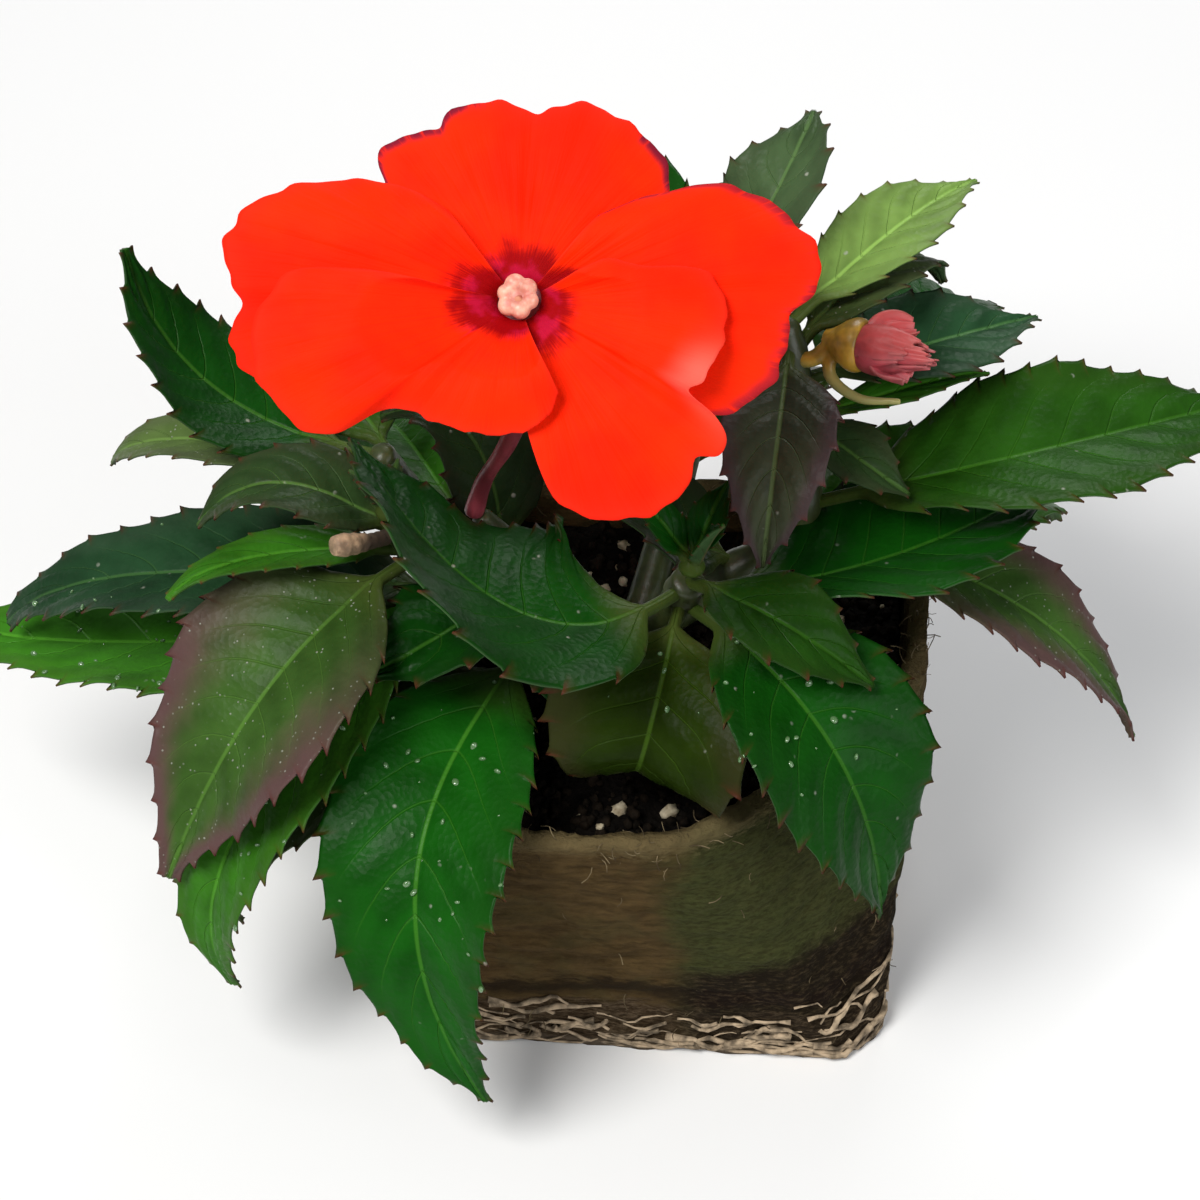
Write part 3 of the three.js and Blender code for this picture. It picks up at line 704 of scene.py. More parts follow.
def add_leaf(skin, settings, start, middle, tip, width, roll, shade, seed):
    """Add one leaf: a round stalk that opens into a toothed, quilted blade."""
    path = arched_path(start, np.array(middle, float), np.array(tip, float))
    heading = (np.array(middle, float) - start) * (1, 1, 0)
    heading /= np.linalg.norm(heading)
    sideways = np.cross((0, 0, 1.0), heading)
    length = spread_along(path, [0])[2]
    stalk = min(8.0, 0.13 * length) / length
    spacing = settings.tooth_spacing / MM
    teeth = max(5, round(length * (1 - stalk) / spacing))
    grown = min(1.0, width / 20)
    rows = [(-1 + k / 5, 0.0) for k in range(5)]
    rows += [((k + phase) / teeth, height) for k in range(teeth) for phase, height in TOOTH_PHASES]
    rows += [(1.0, 0.0)]
    t = np.array([row[0] for row in rows])
    tooth = np.array([row[1] for row in rows])
    blade = np.clip(t, 0, 1)
    share = np.where(t < 0, (1 + t) * stalk, stalk + (1 - stalk) * blade)
    placed, along, _ = spread_along(path, share)
    side = sideways - along * (along @ sideways)[:, None]
    side /= np.linalg.norm(side, axis=1, keepdims=True)
    up = np.cross(along, side)
    turn = math.radians(roll)
    side, up = side * math.cos(turn) + up * math.sin(turn), up * math.cos(turn) - side * math.sin(turn)

    tooth_height = settings.tooth_height / MM * grown * (1 - 0.5 * blade) * smooth(0.02, 0.12, blade)
    smooth_edge = np.maximum(0.95 * (1 - blade) + 0.14 * blade, blade_outline(blade) * width / 2)
    across = np.concatenate((-BLADE_SHARES[:0:-1], BLADE_SHARES))
    away = np.abs(across)[None, :]
    half_sign = np.sign(across)[None, :]
    down = blade[:, None]
    edge = smooth(0.86, 1.0, away)
    reach = away * (smooth_edge + 0.35 * tooth_height)[:, None] + edge * (tooth * tooth_height)[:, None]
    forward = edge * (tooth * tooth_height)[:, None] * 0.9

    pairs = max(4, round(settings.vein_pairs * min(1.0, length / 55)))
    vein = pairs * down - (1.1 * away + 0.9 * away ** 2)
    vein = vein + 0.05 * np.sin(7 * away + seed + 5 * down)
    open_blade = smooth(0.0, 0.16, down)
    quilt = settings.quilt_height / MM * min(1.0, width / 18)
    swell = quilt * (np.abs(np.sin(np.pi * vein)) - 0.6) * 4 * away * (1 - away) * open_blade
    fold = math.tan(settings.fold)
    lift = (np.sqrt(away ** 2 + 0.003) - 0.055) * smooth_edge[:, None] * fold * open_blade
    wave = np.sin(9 * down) * width * 0.035 * across[None, :] ** 3
    frill = np.sin(down * teeth * 1.9 + seed + 2 * half_sign) * 0.018 * width * away ** 4
    groove = 0.28 * np.exp(-(reach / 0.7) ** 2) * open_blade
    rib = 0.75 * np.exp(-(reach / 0.8) ** 2) * (1 - 0.75 * down) * open_blade

    body = settings.blade_thickness / MM * (1 - 0.5 * away ** 3)
    roundness = 0.95 * np.sqrt(np.clip(1 - away ** 2, 0, 1)) + 0.04
    half = roundness * (1 - open_blade) + body / 2 * open_blade
    base = lift + (wave + frill) * open_blade + swell

    def laid(height):
        return (
            placed[:, None, :] - side[:, None, :] * (half_sign * reach)[..., None]
            + up[:, None, :] * height[..., None] + along[:, None, :] * forward[..., None]
        )

    top = laid(base + half - groove)
    bottom = laid(base - half - rib)
    rings = np.concatenate((top, bottom[:, ::-1]), 1)
    whole = np.ones((len(t), len(across)))
    skin.add_rings(rings, {
        "across": doubled(np.broadcast_to(away, whole.shape)),
        "reach": doubled(reach),
        "along": doubled(down * whole),
        "stalk": doubled(1 - open_blade * whole),
        "vein": doubled(vein),
        "under": np.concatenate((0 * whole, whole), 1),
        "tip": doubled(edge * smooth(0.55, 0.95, tooth)[:, None] * open_blade),
        "shade": shade,
    }, facing=True)


def leaf_finish(name, settings, tone, margin, margin_amount, under, gloss, dusty_with_shaded_base):
    """Leaf material: veins, margin, paler underside, tooth tips and specks, dimmed by each leaf's brightness,
    which paints its light and shade as well as its tone; a dusty leaf has more specks and painted shade
    towards its base.
    """
    finish = Finish(name)
    across = finish.attribute("across")
    along = finish.attribute("along")
    reach = finish.attribute("reach")
    below = finish.attribute("under")
    stalk = finish.attribute("stalk")
    patch = finish.cloud(95, 3)
    fine = finish.cloud(900, 2)
    midrib = reach.ramp(0.46, 0.16) * (1 - along * 0.5)
    distance = abs((finish.attribute("vein") + 0.5).fraction() - 0.5)
    side_vein = distance.ramp(0.045, 0.0) * across.ramp(0.9, 0.3)
    net = finish.cells(1050)
    lively = patch.ramp(0.3, 0.72)
    rib = tuple(1.7 * c + extra for c, extra in zip(tone, settings.vein))
    colour = finish.mottled(lively, tone, 0.72, 1.3)
    colour = finish.mixed(distance.ramp(0.5, 0.0) * 0.25, colour, shaded(tone, 1.6))
    rim_start = 0.28 if dusty_with_shaded_base else 0.45
    rim = (across + (patch - 0.5) * 0.9).ramp(rim_start, 0.95) * margin_amount
    # Each leaf's brightness is painted light and shade as well as its own tone.
    light = finish.attribute("shade")
    speck_scale, speck_patches = 430, (0.6, 0.7)
    if dusty_with_shaded_base:
        rim = rim * (0.3 + along.ramp(0.1, 0.5) * 0.7)
        # Painted shade: a dusty leaf is made darker towards its base.
        light = light * (0.6 + along.ramp(0.0, 0.5) * 0.4)
        speck_scale, speck_patches = 900, (0.4, 0.6)
    colour = finish.mixed(rim, colour, margin)
    colour = finish.mixed(side_vein * 0.3, colour, rib)
    colour = finish.mixed(midrib * 0.8, colour, rib)
    colour = finish.dimmed(colour, light)
    beneath = finish.mottled(lively, under, 0.75, 1.0)
    beneath = finish.mixed(side_vein * 0.4 + midrib * 0.6, beneath, (0.16, 0.085, 0.05))
    colour = finish.mixed(below * 0.92, colour, beneath)
    colour = finish.mixed(stalk * 0.75, colour, (0.06, 0.085, 0.016))
    speck = finish.cells(speck_scale).ramp(0.2, 0.08) * finish.cloud(260, 2).ramp(*speck_patches)
    colour = finish.mixed(speck * 0.6, colour, (0.4, 0.42, 0.35))
    colour = finish.mixed(finish.attribute("tip") * 0.9, colour, settings.tooth)
    roughness = 0.3 + fine * 0.16 + below * 0.2
    relief = fine * 0.25 + net * 0.35 - side_vein * 0.7 - midrib * 0.4 + speck * 0.5
    return finish.finished(colour, roughness, relief, 0.00028, 0.8, specular_ior_level=gloss)


LEAF_SLOTS = {
    "green": "leaf_green", "olive": "leaf_green", "dull": "leaf_green", "light": "leaf_light",
    "young": "leaf_light", "dark": "leaf_dark", "teal": "leaf_dark", "deep": "leaf_dark",
    "bronze": "leaf_bronze", "plum": "leaf_bronze",
    "grey": "leaf_grey",
}

# Each colour class: its margin's colour, and how much of that colour the margin has.

LEAF_MARGINS = {
    "green": ((0.006, 0.028, 0.004), 0.35),
    "light": ((0.04, 0.08, 0.012), 0.35),
    "olive": ((0.035, 0.03, 0.012), 0.6),
    "dull": ((0.035, 0.05, 0.025), 0.5),
    "young": ((0.14, 0.22, 0.06), 0.5),
    "dark": ((0.022, 0.024, 0.012), 0.5),
    "teal": ((0.03, 0.05, 0.03), 0.4),
    "deep": ((0.006, 0.02, 0.004), 0.35),
    "bronze": ((0.105, 0.045, 0.055), 0.85),
    "plum": ((0.05, 0.03, 0.035), 0.8),
    "grey": ((0.07, 0.075, 0.045), 0.5),
}


def leaf_finishes(settings):
    """One finish for each colour class, shared by its leaves."""
    made = {}
    for kind, (margin, amount) in LEAF_MARGINS.items():
        beneath = (0.1, 0.065, 0.045) if kind in ("bronze", "plum") else (0.055, 0.11, 0.04)
        gloss = 0.04 if kind == "olive" else 0.075
        tone = getattr(settings, kind)
        dusty_with_shaded_base = kind in ("bronze", "grey")
        made[kind] = leaf_finish(f"leaf_{kind}", settings, tone, margin, amount, beneath, gloss, dusty_with_shaded_base)
    return made


class IMPATIENS_OT_leaves(bpy.types.Operator):
    """Grow every full leaf in place of its plain one"""

    bl_idname = "impatiens.leaves"
    bl_label = "Leaves"

    def execute(self, context):
        settings = context.scene.impatiens_leaf
        finishes = leaf_finishes(settings)
        for seed, (name, leaf) in enumerate(LEAVES.items()):
            branch, share, middle, tip, width, roll, kind, shade = leaf
            skin = Skin()
            add_leaf(skin, settings, branch_point(branch, share), middle, tip, width, roll, shade, seed * 1.7)
            settle(skin.piece(f"blade_{name}", finishes[kind]), LEAF_SLOTS[kind], f"leaf_{name}")
        return {"FINISHED"}


class IMPATIENS_OT_tufts(bpy.types.Operator):
    """Grow the folded young leaves at the shoot tips"""

    bl_idname = "impatiens.tufts"
    bl_label = "Young Leaves"

    def execute(self, context):
        settings = context.scene.impatiens_leaf
        finishes = leaf_finishes(settings)
        for name, (centre, leaves, kind, shade) in TUFTS.items():
            skin = Skin()
            start = np.array(centre, float)
            for k, (heading, rise, length) in enumerate(leaves):
                turn, climb = math.radians(heading), math.radians(rise)
                direction = np.array((
                    math.cos(turn) * math.cos(climb), math.sin(turn) * math.cos(climb), math.sin(climb),
                ))
                tip = start + direction * length
                middle = (start + tip) / 2 + (0, 0, 0.1 * length)
                add_leaf(skin, settings, start, middle, tip, 0.42 * length, 0, shade, 3.1 * k)
            angles = np.linspace(0, np.pi, 9)
            knob = start + np.array((0, 0, -2.0)) * np.cos(angles)[:, None]
            radii = 1.9 * np.sin(angles) + 0.02
            rings = tube_rings(knob, radii, 16)
            skin.add_rings(rings, {
                "across": 0.5, "reach": 3.0, "along": 0.2, "stalk": 1.0, "vein": 0.5, "under": 0.0,
                "tip": 0.0,
                "shade": shade,
            })
            settle(skin.piece(f"young_leaves_{name[5:]}", finishes[kind]), LEAF_SLOTS[kind], name)
        return {"FINISHED"}


# Stems


def stem_finish(name, tone, spots, roughness=0.35):
    """Fleshy stem: long streaks, paler patches and fine dark spots."""
    finish = Finish(name)
    streak = finish.cloud(260, 3, place=finish.stretched((1.0, 1.0, 0.12)))
    patch = finish.cloud(70, 3)
    dot = finish.cells(700).ramp(0.18, 0.1) * finish.cloud(300, 1).ramp(0.5, 0.62)
    colour = finish.mottled(streak.ramp(0.35, 0.68), tone, 0.6, 1.35)
    colour = finish.mixed(patch.ramp(0.52, 0.7) * 0.45, colour, (0.05, 0.08, 0.02))
    colour = finish.mixed(dot * spots, colour, (0.05, 0.02, 0.012))
    relief = streak * 0.7 + finish.cloud(1200, 2) * 0.3
    return finish.finished(
        colour, roughness + patch * 0.1, relief, 0.0003, 0.6,
        subsurface_weight=0.12, subsurface_radius=(1.0, 0.4, 0.2), subsurface_scale=0.003,
    )


class IMPATIENS_OT_stem(bpy.types.Operator):
    """Grow the forked stem with swollen joints"""

    bl_idname = "impatiens.stem"
    bl_label = "Stem"

    def execute(self, context):
        settings = context.scene.impatiens_flower
        skin = Skin()
        for name, (points, (foot, end)) in BRANCHES.items():
            t = np.linspace(0, 1, 60)
            radii = foot + (end - foot) * t
            for leaf in LEAVES.values():
                if leaf[0] == name:
                    radii += 0.4 * np.exp(-((t - leaf[1]) / 0.035) ** 2)
            radii *= 1 - 0.5 * smooth(0.985, 1.0, t)
            skin.add_tube(points, radii, 20)
        material = stem_finish("stem_skin", settings.stem, 0.7)
        settle(fused(skin.piece("stem_rough", None), "stem_forks", material, 0.55), "stem", "stem")
        return {"FINISHED"}


# Flower


def in_flower(u, v, w):
    """From the flower's own plane to the plant, in millimetres."""
    y = v * math.cos(FLOWER_LEAN) - w * math.sin(FLOWER_LEAN)
    z = v * math.sin(FLOWER_LEAN) + w * math.cos(FLOWER_LEAN)
    return np.stack(np.broadcast_arrays(u, y, z), -1) + FLOWER_CENTRE


def add_petal(skin, settings, rim, layer, dome, fold, seed):
    """Add one ruffled petal, from its claw in the throat to its rim."""
    rows, columns = 36, 110
    edge = rounded_path([(angle, reach, 0) for angle, reach in rim])
    picks = np.linspace(0, len(edge) - 1, columns + 1)
    angles = np.interp(picks, np.arange(len(edge)), edge[:, 0])
    reaches = np.interp(picks, np.arange(len(edge)), edge[:, 1])
    share = (np.linspace(0, 1, rows + 1) ** 0.9)[:, None]
    axis = (rim[0][0] + rim[-1][0]) / 2
    across = ((angles - rim[0][0]) / (rim[-1][0] - rim[0][0]))[None, :]
    spread = 0.92 + 0.08 * np.sin(np.pi * share / 2)
    angle = np.radians(axis + (angles[None, :] - axis) * spread)
    crinkle = 1 + 0.008 * share ** 3 * (np.sin(across * 61 + seed) + 0.6 * np.sin(across * 103 + 2 * seed))
    reach = THROAT_RADIUS + (reaches[None, :] - THROAT_RADIUS) * share ** 0.85 * crinkle
    cup = dome * (np.sin(np.pi * share * 0.8) - 0.5 * share ** 2)
    ruffle = settings.ruffle / MM * share ** 3 * (
        0.6 * np.sin(across * 13 + 0.4 * seed) + 0.4 * np.sin(across * 27 + seed)
        + 0.15 * np.sin(across * 57 - seed)
    )
    veins = 0.07 * np.sin(across * 95 + seed) * smooth(0.1, 0.4, share) * (1 - 0.5 * share)
    near_axis = np.exp(-((angles[None, :] - axis) / 4.5) ** 2)
    crease = -0.8 * near_axis * smooth(0.1, 0.5, share) * (1 - 0.4 * share)
    bent = np.exp(-((angles[None, :] - fold[0]) / fold[1]) ** 2)
    bed = layer * (0.35 + 0.65 * np.minimum(1, share * 2)) + cup + ruffle + veins + crease
    bed = bed + fold[2] * bent * share ** 5
    half = settings.petal_thickness / MM / 2 * (1 - 0.55 * share ** 4)
    u, v = reach * np.cos(angle), reach * np.sin(angle)
    top = in_flower(u, v, bed + half)
    bottom = in_flower(u, v, bed - half)
    rings = np.concatenate((top, bottom[:, ::-1]), 1)
    whole = np.ones((rows + 1, columns + 1))
    margin = np.maximum(share ** 14, np.abs(2 * across - 1) ** 30)
    skin.add_rings(rings, {
        "along": doubled(share * whole),
        "across": doubled(across * whole),
        "margin": doubled(margin * whole),
        "fold": doubled(bent * smooth(0.7, 0.95, share) * whole),
        "under": np.concatenate((0 * whole, whole), 1),
    }, facing=True)


def petal_finish(name, settings, bruised=0.0, folded=0.0):
    """Velvety petal: dark throat, faint rays, and for some a bruised rim or a pale fold."""
    finish = Finish(name)
    along = finish.attribute("along")
    across = finish.attribute("across")
    rays = finish.node(
        "ShaderNodeTexNoise", {"noise_dimensions": "2D"},
        {
            "Vector": finish.node("ShaderNodeCombineXYZ", {}, [across * 60, along * 2.2, 0.0]),
            "Scale": 1.0, "Detail": 3.0, "Roughness": 0.6,
        }, "Fac",
    )
    patch = finish.cloud(60, 3)
    red, green, blue = settings.petal
    colour = finish.mixed(patch.ramp(0.3, 0.7), (red * 0.97, green * 0.65, blue), (red, green * 1.25, blue))
    colour = finish.mixed(rays.ramp(0.5, 0.72) * along.ramp(0.9, 0.2) * 0.16, colour, (0.75, 0.006, 0.004))
    blotch = finish.cloud(260, 3)
    deep = finish.mixed(blotch.ramp(0.48, 0.66), settings.throat, (0.42, 0.005, 0.035))
    inward = along + (rays - 0.5) * 0.1 + (blotch - 0.5) * 0.16
    colour = finish.mixed(inward.ramp(0.19, 0.08) * 0.95, colour, deep)
    colour = finish.mixed(finish.attribute("margin") * 0.3, colour, settings.rim)
    if folded:
        colour = finish.mixed(finish.attribute("fold") * folded, colour, (0.95, 0.2, 0.15))
    if bruised:
        spot = (patch + (rays - 0.5) * 0.3).ramp(0.46, 0.58)
        outer = (along + (patch - 0.5) * 0.1).ramp(0.93, 0.99)
        colour = finish.mixed(outer * spot * bruised, colour, (0.1, 0.008, 0.03))
    colour = finish.mixed(finish.attribute("under") * 0.35, colour, (0.9, 0.1, 0.04))
    relief = rays * 0.8 + finish.cloud(1500, 2) * 0.25
    return finish.finished(colour, 0.55 + rays * 0.12, relief, 0.0003, 0.5, specular_ior_level=0.04)


class IMPATIENS_OT_petals(bpy.types.Operator):
    """Grow the open flower's five petals"""

    bl_idname = "impatiens.petals"
    bl_label = "Petals"

    def execute(self, context):
        settings = context.scene.impatiens_flower
        plain = petal_finish("petal_velvet", settings)
        finishes = {
            "petal_top": petal_finish("petal_bruised", settings, bruised=0.85),
            "petal_upper_right": petal_finish("petal_tinged", settings, bruised=0.6),
            "petal_lower_right": petal_finish("petal_folded", settings, folded=0.55),
        }
        for seed, (name, (rim, layer, dome)) in enumerate(PETALS.items()):
            skin = Skin()
            fold = PETAL_FOLDS.get(name, (rim[0][0], 1.0, 0.0))
            add_petal(skin, settings, rim, layer, dome, fold, 1.3 * seed + 0.7)
            piece = skin.piece(name.replace("petal_", "bloom_petal_"), finishes.get(name, plain))
            settle(piece, "petal", name)
        return {"FINISHED"}


def add_ball(skin, centre, radii):
    """Add a closed ball, placed in the flower's plane."""
    climb = np.linspace(0.03, np.pi - 0.03, 18)[:, None]
    turn = (2 * np.pi * np.arange(24) / 24)[None, :]
    u = centre[0] + radii[0] * np.sin(climb) * np.cos(turn)
    v = centre[1] + radii[1] * np.sin(climb) * np.sin(turn)
    w = centre[2] + radii[2] * np.cos(climb) * np.ones_like(turn)
    skin.add_rings(in_flower(u, v, w))


class IMPATIENS_OT_column(bpy.types.Operator):
    """Make the lobed cream cap that stands in the throat"""

    bl_idname = "impatiens.column"
    bl_label = "Column"

    def execute(self, context):
        settings = context.scene.impatiens_flower
        skin = Skin()
        add_ball(skin, (0, 0, 1.5), (2.1, 2.1, 3.0))
        for k in range(COLUMN_LOBES):
            turn = math.pi / 4 + k * 2 * math.pi / COLUMN_LOBES
            size = 1.3 + 0.16 * math.sin(2.3 * k)
            add_ball(skin, (1.62 * math.cos(turn), 1.62 * math.sin(turn), 3.4), (size, size, 1.4))
        finish = Finish("column_cap")
        patch = finish.cloud(420, 3)
        red, green, blue = settings.column
        colour = finish.mixed(patch.ramp(0.35, 0.65), (red * 0.8, green * 0.45, blue * 0.5), settings.column)
        colour = finish.mixed(finish.cells(900).ramp(0.3, 0.1) * 0.3, colour, (0.9, 0.72, 0.6))
        # Painted shade: a darker red net of cells over the cap stands for shade in the crevices between its
        # lobes.
        lobe_crevice_shade = finish.cells(620, feature="SMOOTH_F1")
        colour = finish.mixed(lobe_crevice_shade.ramp(0.45, 0.8) * 0.7, colour, (0.45, 0.1, 0.06))
        material = finish.finished(
            colour, 0.5, patch, 0.0003, 0.7,
            subsurface_weight=0.2, subsurface_radius=(1.0, 0.5, 0.3), subsurface_scale=0.002,
        )
        piece = fused(skin.piece("column_rough", None), "throat_column", material, 0.16, 4)
        settle(piece, "column", "bloom_column")

        # Painted shade: a dark red ball fills the hole in the top of the cap, where shade falls.
        pit = Skin()
        add_ball(pit, (0.15, -0.35, 4.05), (0.75, 0.7, 0.5))
        finish = Finish("column_pit")
        patch = finish.cloud(600, 2)
        colour = finish.mixed(patch.ramp(0.35, 0.65), (0.3, 0.03, 0.02), (0.6, 0.22, 0.12))
        settle(pit.piece("throat_pit", finish.finished(colour, 0.6)), "column")
        return {"FINISHED"}


class IMPATIENS_OT_bloom_stalk(bpy.types.Operator):
    """Grow the flower's stalk, its seat and its spur"""

    bl_idname = "impatiens.bloom_stalk"
    bl_label = "Flower Stalk"

    def execute(self, context):
        settings = context.scene.impatiens_flower
        skin = Skin()
        behind = in_flower(0.0, -3.0, -8.0)
        seat = in_flower(0.0, 0.0, -2.4)
        stalk = [(-28.4, -1, 78.5), (-26.6, -2.4, 86), (-22.6, -6, 97), (-18.4, -8, 112), behind, seat]
        radii = 1.2 + 0.25 * smooth(0.1, 0.0, np.linspace(0, 1, 60)) + 0.1 * np.sin(np.linspace(0, 19, 60))
        skin.add_tube(stalk, radii, 16)
        skin.add_tube([in_flower(0.0, 0.0, w) for w in (-5.4, -3.6, -1.85)], np.linspace(1.4, 3.4, 14), 24)
        spur = ((0, 0, -4), (0, -6, -8), (2, -14, -11), (5, -21, -10), (8, -25, -7))
        skin.add_tube([in_flower(*map(float, p)) for p in spur], np.linspace(1.5, 0.55, 50), 14)
        material = stem_finish("bloom_stalk_skin", settings.stalk, 0.2)
        piece = fused(skin.piece("stalk_rough", None), "flower_stalk", material, 0.28, 3)
        settle(piece, "flower_stalk", "bloom_stalk")
        return {"FINISHED"}


# Bud


def in_bud(share):
    """A point at a share of the bud's length."""
    return BUD_SEAT + BUD_AXIS * share


def margin_values(share, away):
    """How near the points of a small petal lie to its rim."""
    return {"margin": doubled(np.maximum(share ** 6, away))}


def add_flap(skin, near, far, half_width, cupped):
    """Add a small loose petal, cupped across its path."""
    rows, columns, half_thickness = 30, 20, 0.35
    share = np.linspace(0, 1, rows)
    placed, along, _ = spread_along(rounded_path([in_bud(0.45), near, far]), share)
    side = np.cross(along, cupped)
    side /= np.linalg.norm(side, axis=1, keepdims=True)
    up = np.cross(side, along)
    t = share[:, None]
    away = np.linspace(-1, 1, columns)[None, :]
    width = half_width * (0.35 + 0.65 * np.sin(np.pi * np.clip(t * 0.75 + 0.1, 0, 1)))
    cup = 0.8 * away ** 2 + 0.35 * t * np.sin(away * 9 + t * 6)
    flat = placed[:, None] + side[:, None] * (away * width)[..., None] + up[:, None] * cup[..., None]
    rise = up[:, None] * half_thickness * (1 - 0.5 * t[..., None])
    rings = np.concatenate((flat + rise, (flat - rise)[:, ::-1]), 1)
    skin.add_rings(rings, margin_values(t, away ** 8), facing=True)


def add_furl(skin, last, radius, turn, seed):
    """Add one petal rolled round the bud's axis, with a ragged rim."""
    rows, columns, thickness = 26, 34, 0.45
    side = np.cross(BUD_AXIS, (0, 0, 1.0))
    side /= np.linalg.norm(side)
    up = np.cross(side, BUD_AXIS / np.linalg.norm(BUD_AXIS))
    share = np.linspace(0, 1, rows)[:, None]
    wrap = np.linspace(0, 1, columns)[None, :]
    ragged = last - 0.1 * (0.5 + 0.5 * np.sin(wrap * 11 + seed)) - 0.04 * np.sin(wrap * 37 + seed)
    along = FURL_START + (ragged - FURL_START) * share
    swell = radius * (0.75 + 0.35 * np.sin(np.pi * share * 0.75)) * (1 - 0.55 * share ** 2 * (1 - 0.4 * wrap))
    swell = swell * (1 - 0.16 * wrap) + 0.22 * share * np.sin(wrap * 17 + seed)
    angle = turn + wrap * 3.6
    out = np.cos(angle)[..., None] * side + np.sin(angle)[..., None] * up
    outer = in_bud(along[..., None]) + out * swell[..., None]
    inner = in_bud(along[..., None]) + out * (swell - thickness)[..., None]
    rings = np.concatenate((outer, inner[:, ::-1]), 1)
    skin.add_rings(rings, margin_values(share, np.abs(2 * wrap - 1) ** 12), facing=True)


def calyx_finish(settings):
    """Olive calyx that pales towards its spur."""
    finish = Finish("calyx_skin")
    patch = finish.cloud(260, 3)
    colour = finish.mottled(patch.ramp(0.35, 0.65), settings.calyx, 0.6, 1.4)
    colour = finish.mixed(finish.side("Z").ramp(0.0985, 0.0955), colour, settings.spur)
    return finish.finished(
        colour, 0.38, patch, 0.0003, 0.6,
        subsurface_weight=0.12, subsurface_radius=(1.0, 0.6, 0.2), subsurface_scale=0.002,
    )


def bud_petal_finish(settings):
    """Pink petals, with painted light that makes their top redder, and pale along their rims."""
    finish = Finish("bud_petal_velvet")
    patch = finish.cloud(300, 4)
    colour = finish.mottled(patch.ramp(0.3, 0.7), settings.bud_petal, 0.55, 1.35)
    # Painted light: the upper side of the bud is made redder.
    painted_top_light = (finish.side("Z") + (patch - 0.5) * 0.004).ramp(0.1015, 0.1045)
    colour = finish.mixed(painted_top_light * 0.7, colour, (0.5, 0.045, 0.035))
    colour = finish.mixed(finish.attribute("margin") * 0.35, colour, (0.55, 0.2, 0.18))
    return finish.finished(
        colour, 0.48, patch, 0.0004, 0.6,
        subsurface_weight=0.12, subsurface_radius=(1.0, 0.3, 0.2), subsurface_scale=0.002,
    )


class IMPATIENS_OT_bud(bpy.types.Operator):
    """Grow the furled bud, its calyx, stalk and spur"""

    bl_idname = "impatiens.bud"
    bl_label = "Bud"

    def execute(self, context):
        settings = context.scene.impatiens_flower
        green = Skin()
        t = np.linspace(0, 1, 24)
        cup = 1.6 + 2.3 * smooth(0, 0.8, t) - 0.3 * smooth(0.85, 1, t)
        green.add_tube([in_bud(-0.12), in_bud(0.08), in_bud(0.36)], cup, 26)
        green.add_tube([(15.5, 14.6, 96.5), (18.5, 13.4, 97.6), BUD_SEAT], np.linspace(1.1, 1.3, 20), 14)
        spur = [BUD_SEAT, (21, 11.5, 96.5), (25, 8.5, 95), (31, 7.5, 95.5)]
        green.add_tube(spur, np.linspace(1.1, 0.45, 40), 14)
        cup_piece = fused(green.piece("calyx_rough", None), "bud_cup", calyx_finish(settings), 0.24, 3)
        settle(cup_piece, "calyx", "bud_calyx")

        petals = Skin()
        for furl in FURLS:
            add_furl(petals, *furl)
        for flap in FLAPS:
            add_flap(petals, *flap)
        settle(petals.piece("bud_furl", bud_petal_finish(settings)), "bud_petal", "bud_petals")
        return {"FINISHED"}


class IMPATIENS_OT_spent_stalk(bpy.types.Operator):
    """Grow the beige stub that an older flower left"""

    bl_idname = "impatiens.spent_stalk"
    bl_label = "Spent Stalk"

    def execute(self, context):
        settings = context.scene.impatiens_flower
        skin = Skin()
        t = np.linspace(0, 1, 34)
        radii = 1.1 + 0.55 * smooth(0.3, 0.85, t) - 0.35 * smooth(0.9, 1.0, t) + 0.06 * np.sin(t * 40)
        skin.add_tube([(-40, -8.4, 79.8), (-42.2, -11.8, 82), (-46.4, -14.8, 83.8)], radii, 22)
        finish = Finish("spent_skin")
        streak = finish.cloud(500, 4)
        colour = finish.mottled(streak.ramp(0.3, 0.7), settings.spent, 0.5, 1.3)
        colour = finish.mixed(finish.cells(600).ramp(0.25, 0.1) * 0.5, colour, (0.1, 0.05, 0.03))
        colour = finish.mixed(finish.side("X").ramp(-0.0435, -0.0415) * 0.9, colour, (0.04, 0.022, 0.014))
        material = finish.finished(colour, 0.7, streak, 0.0005, 0.8)
        settle(skin.piece("spent_stub", material), "spent", "spent_stalk")
        return {"FINISHED"}


# Pot and soil


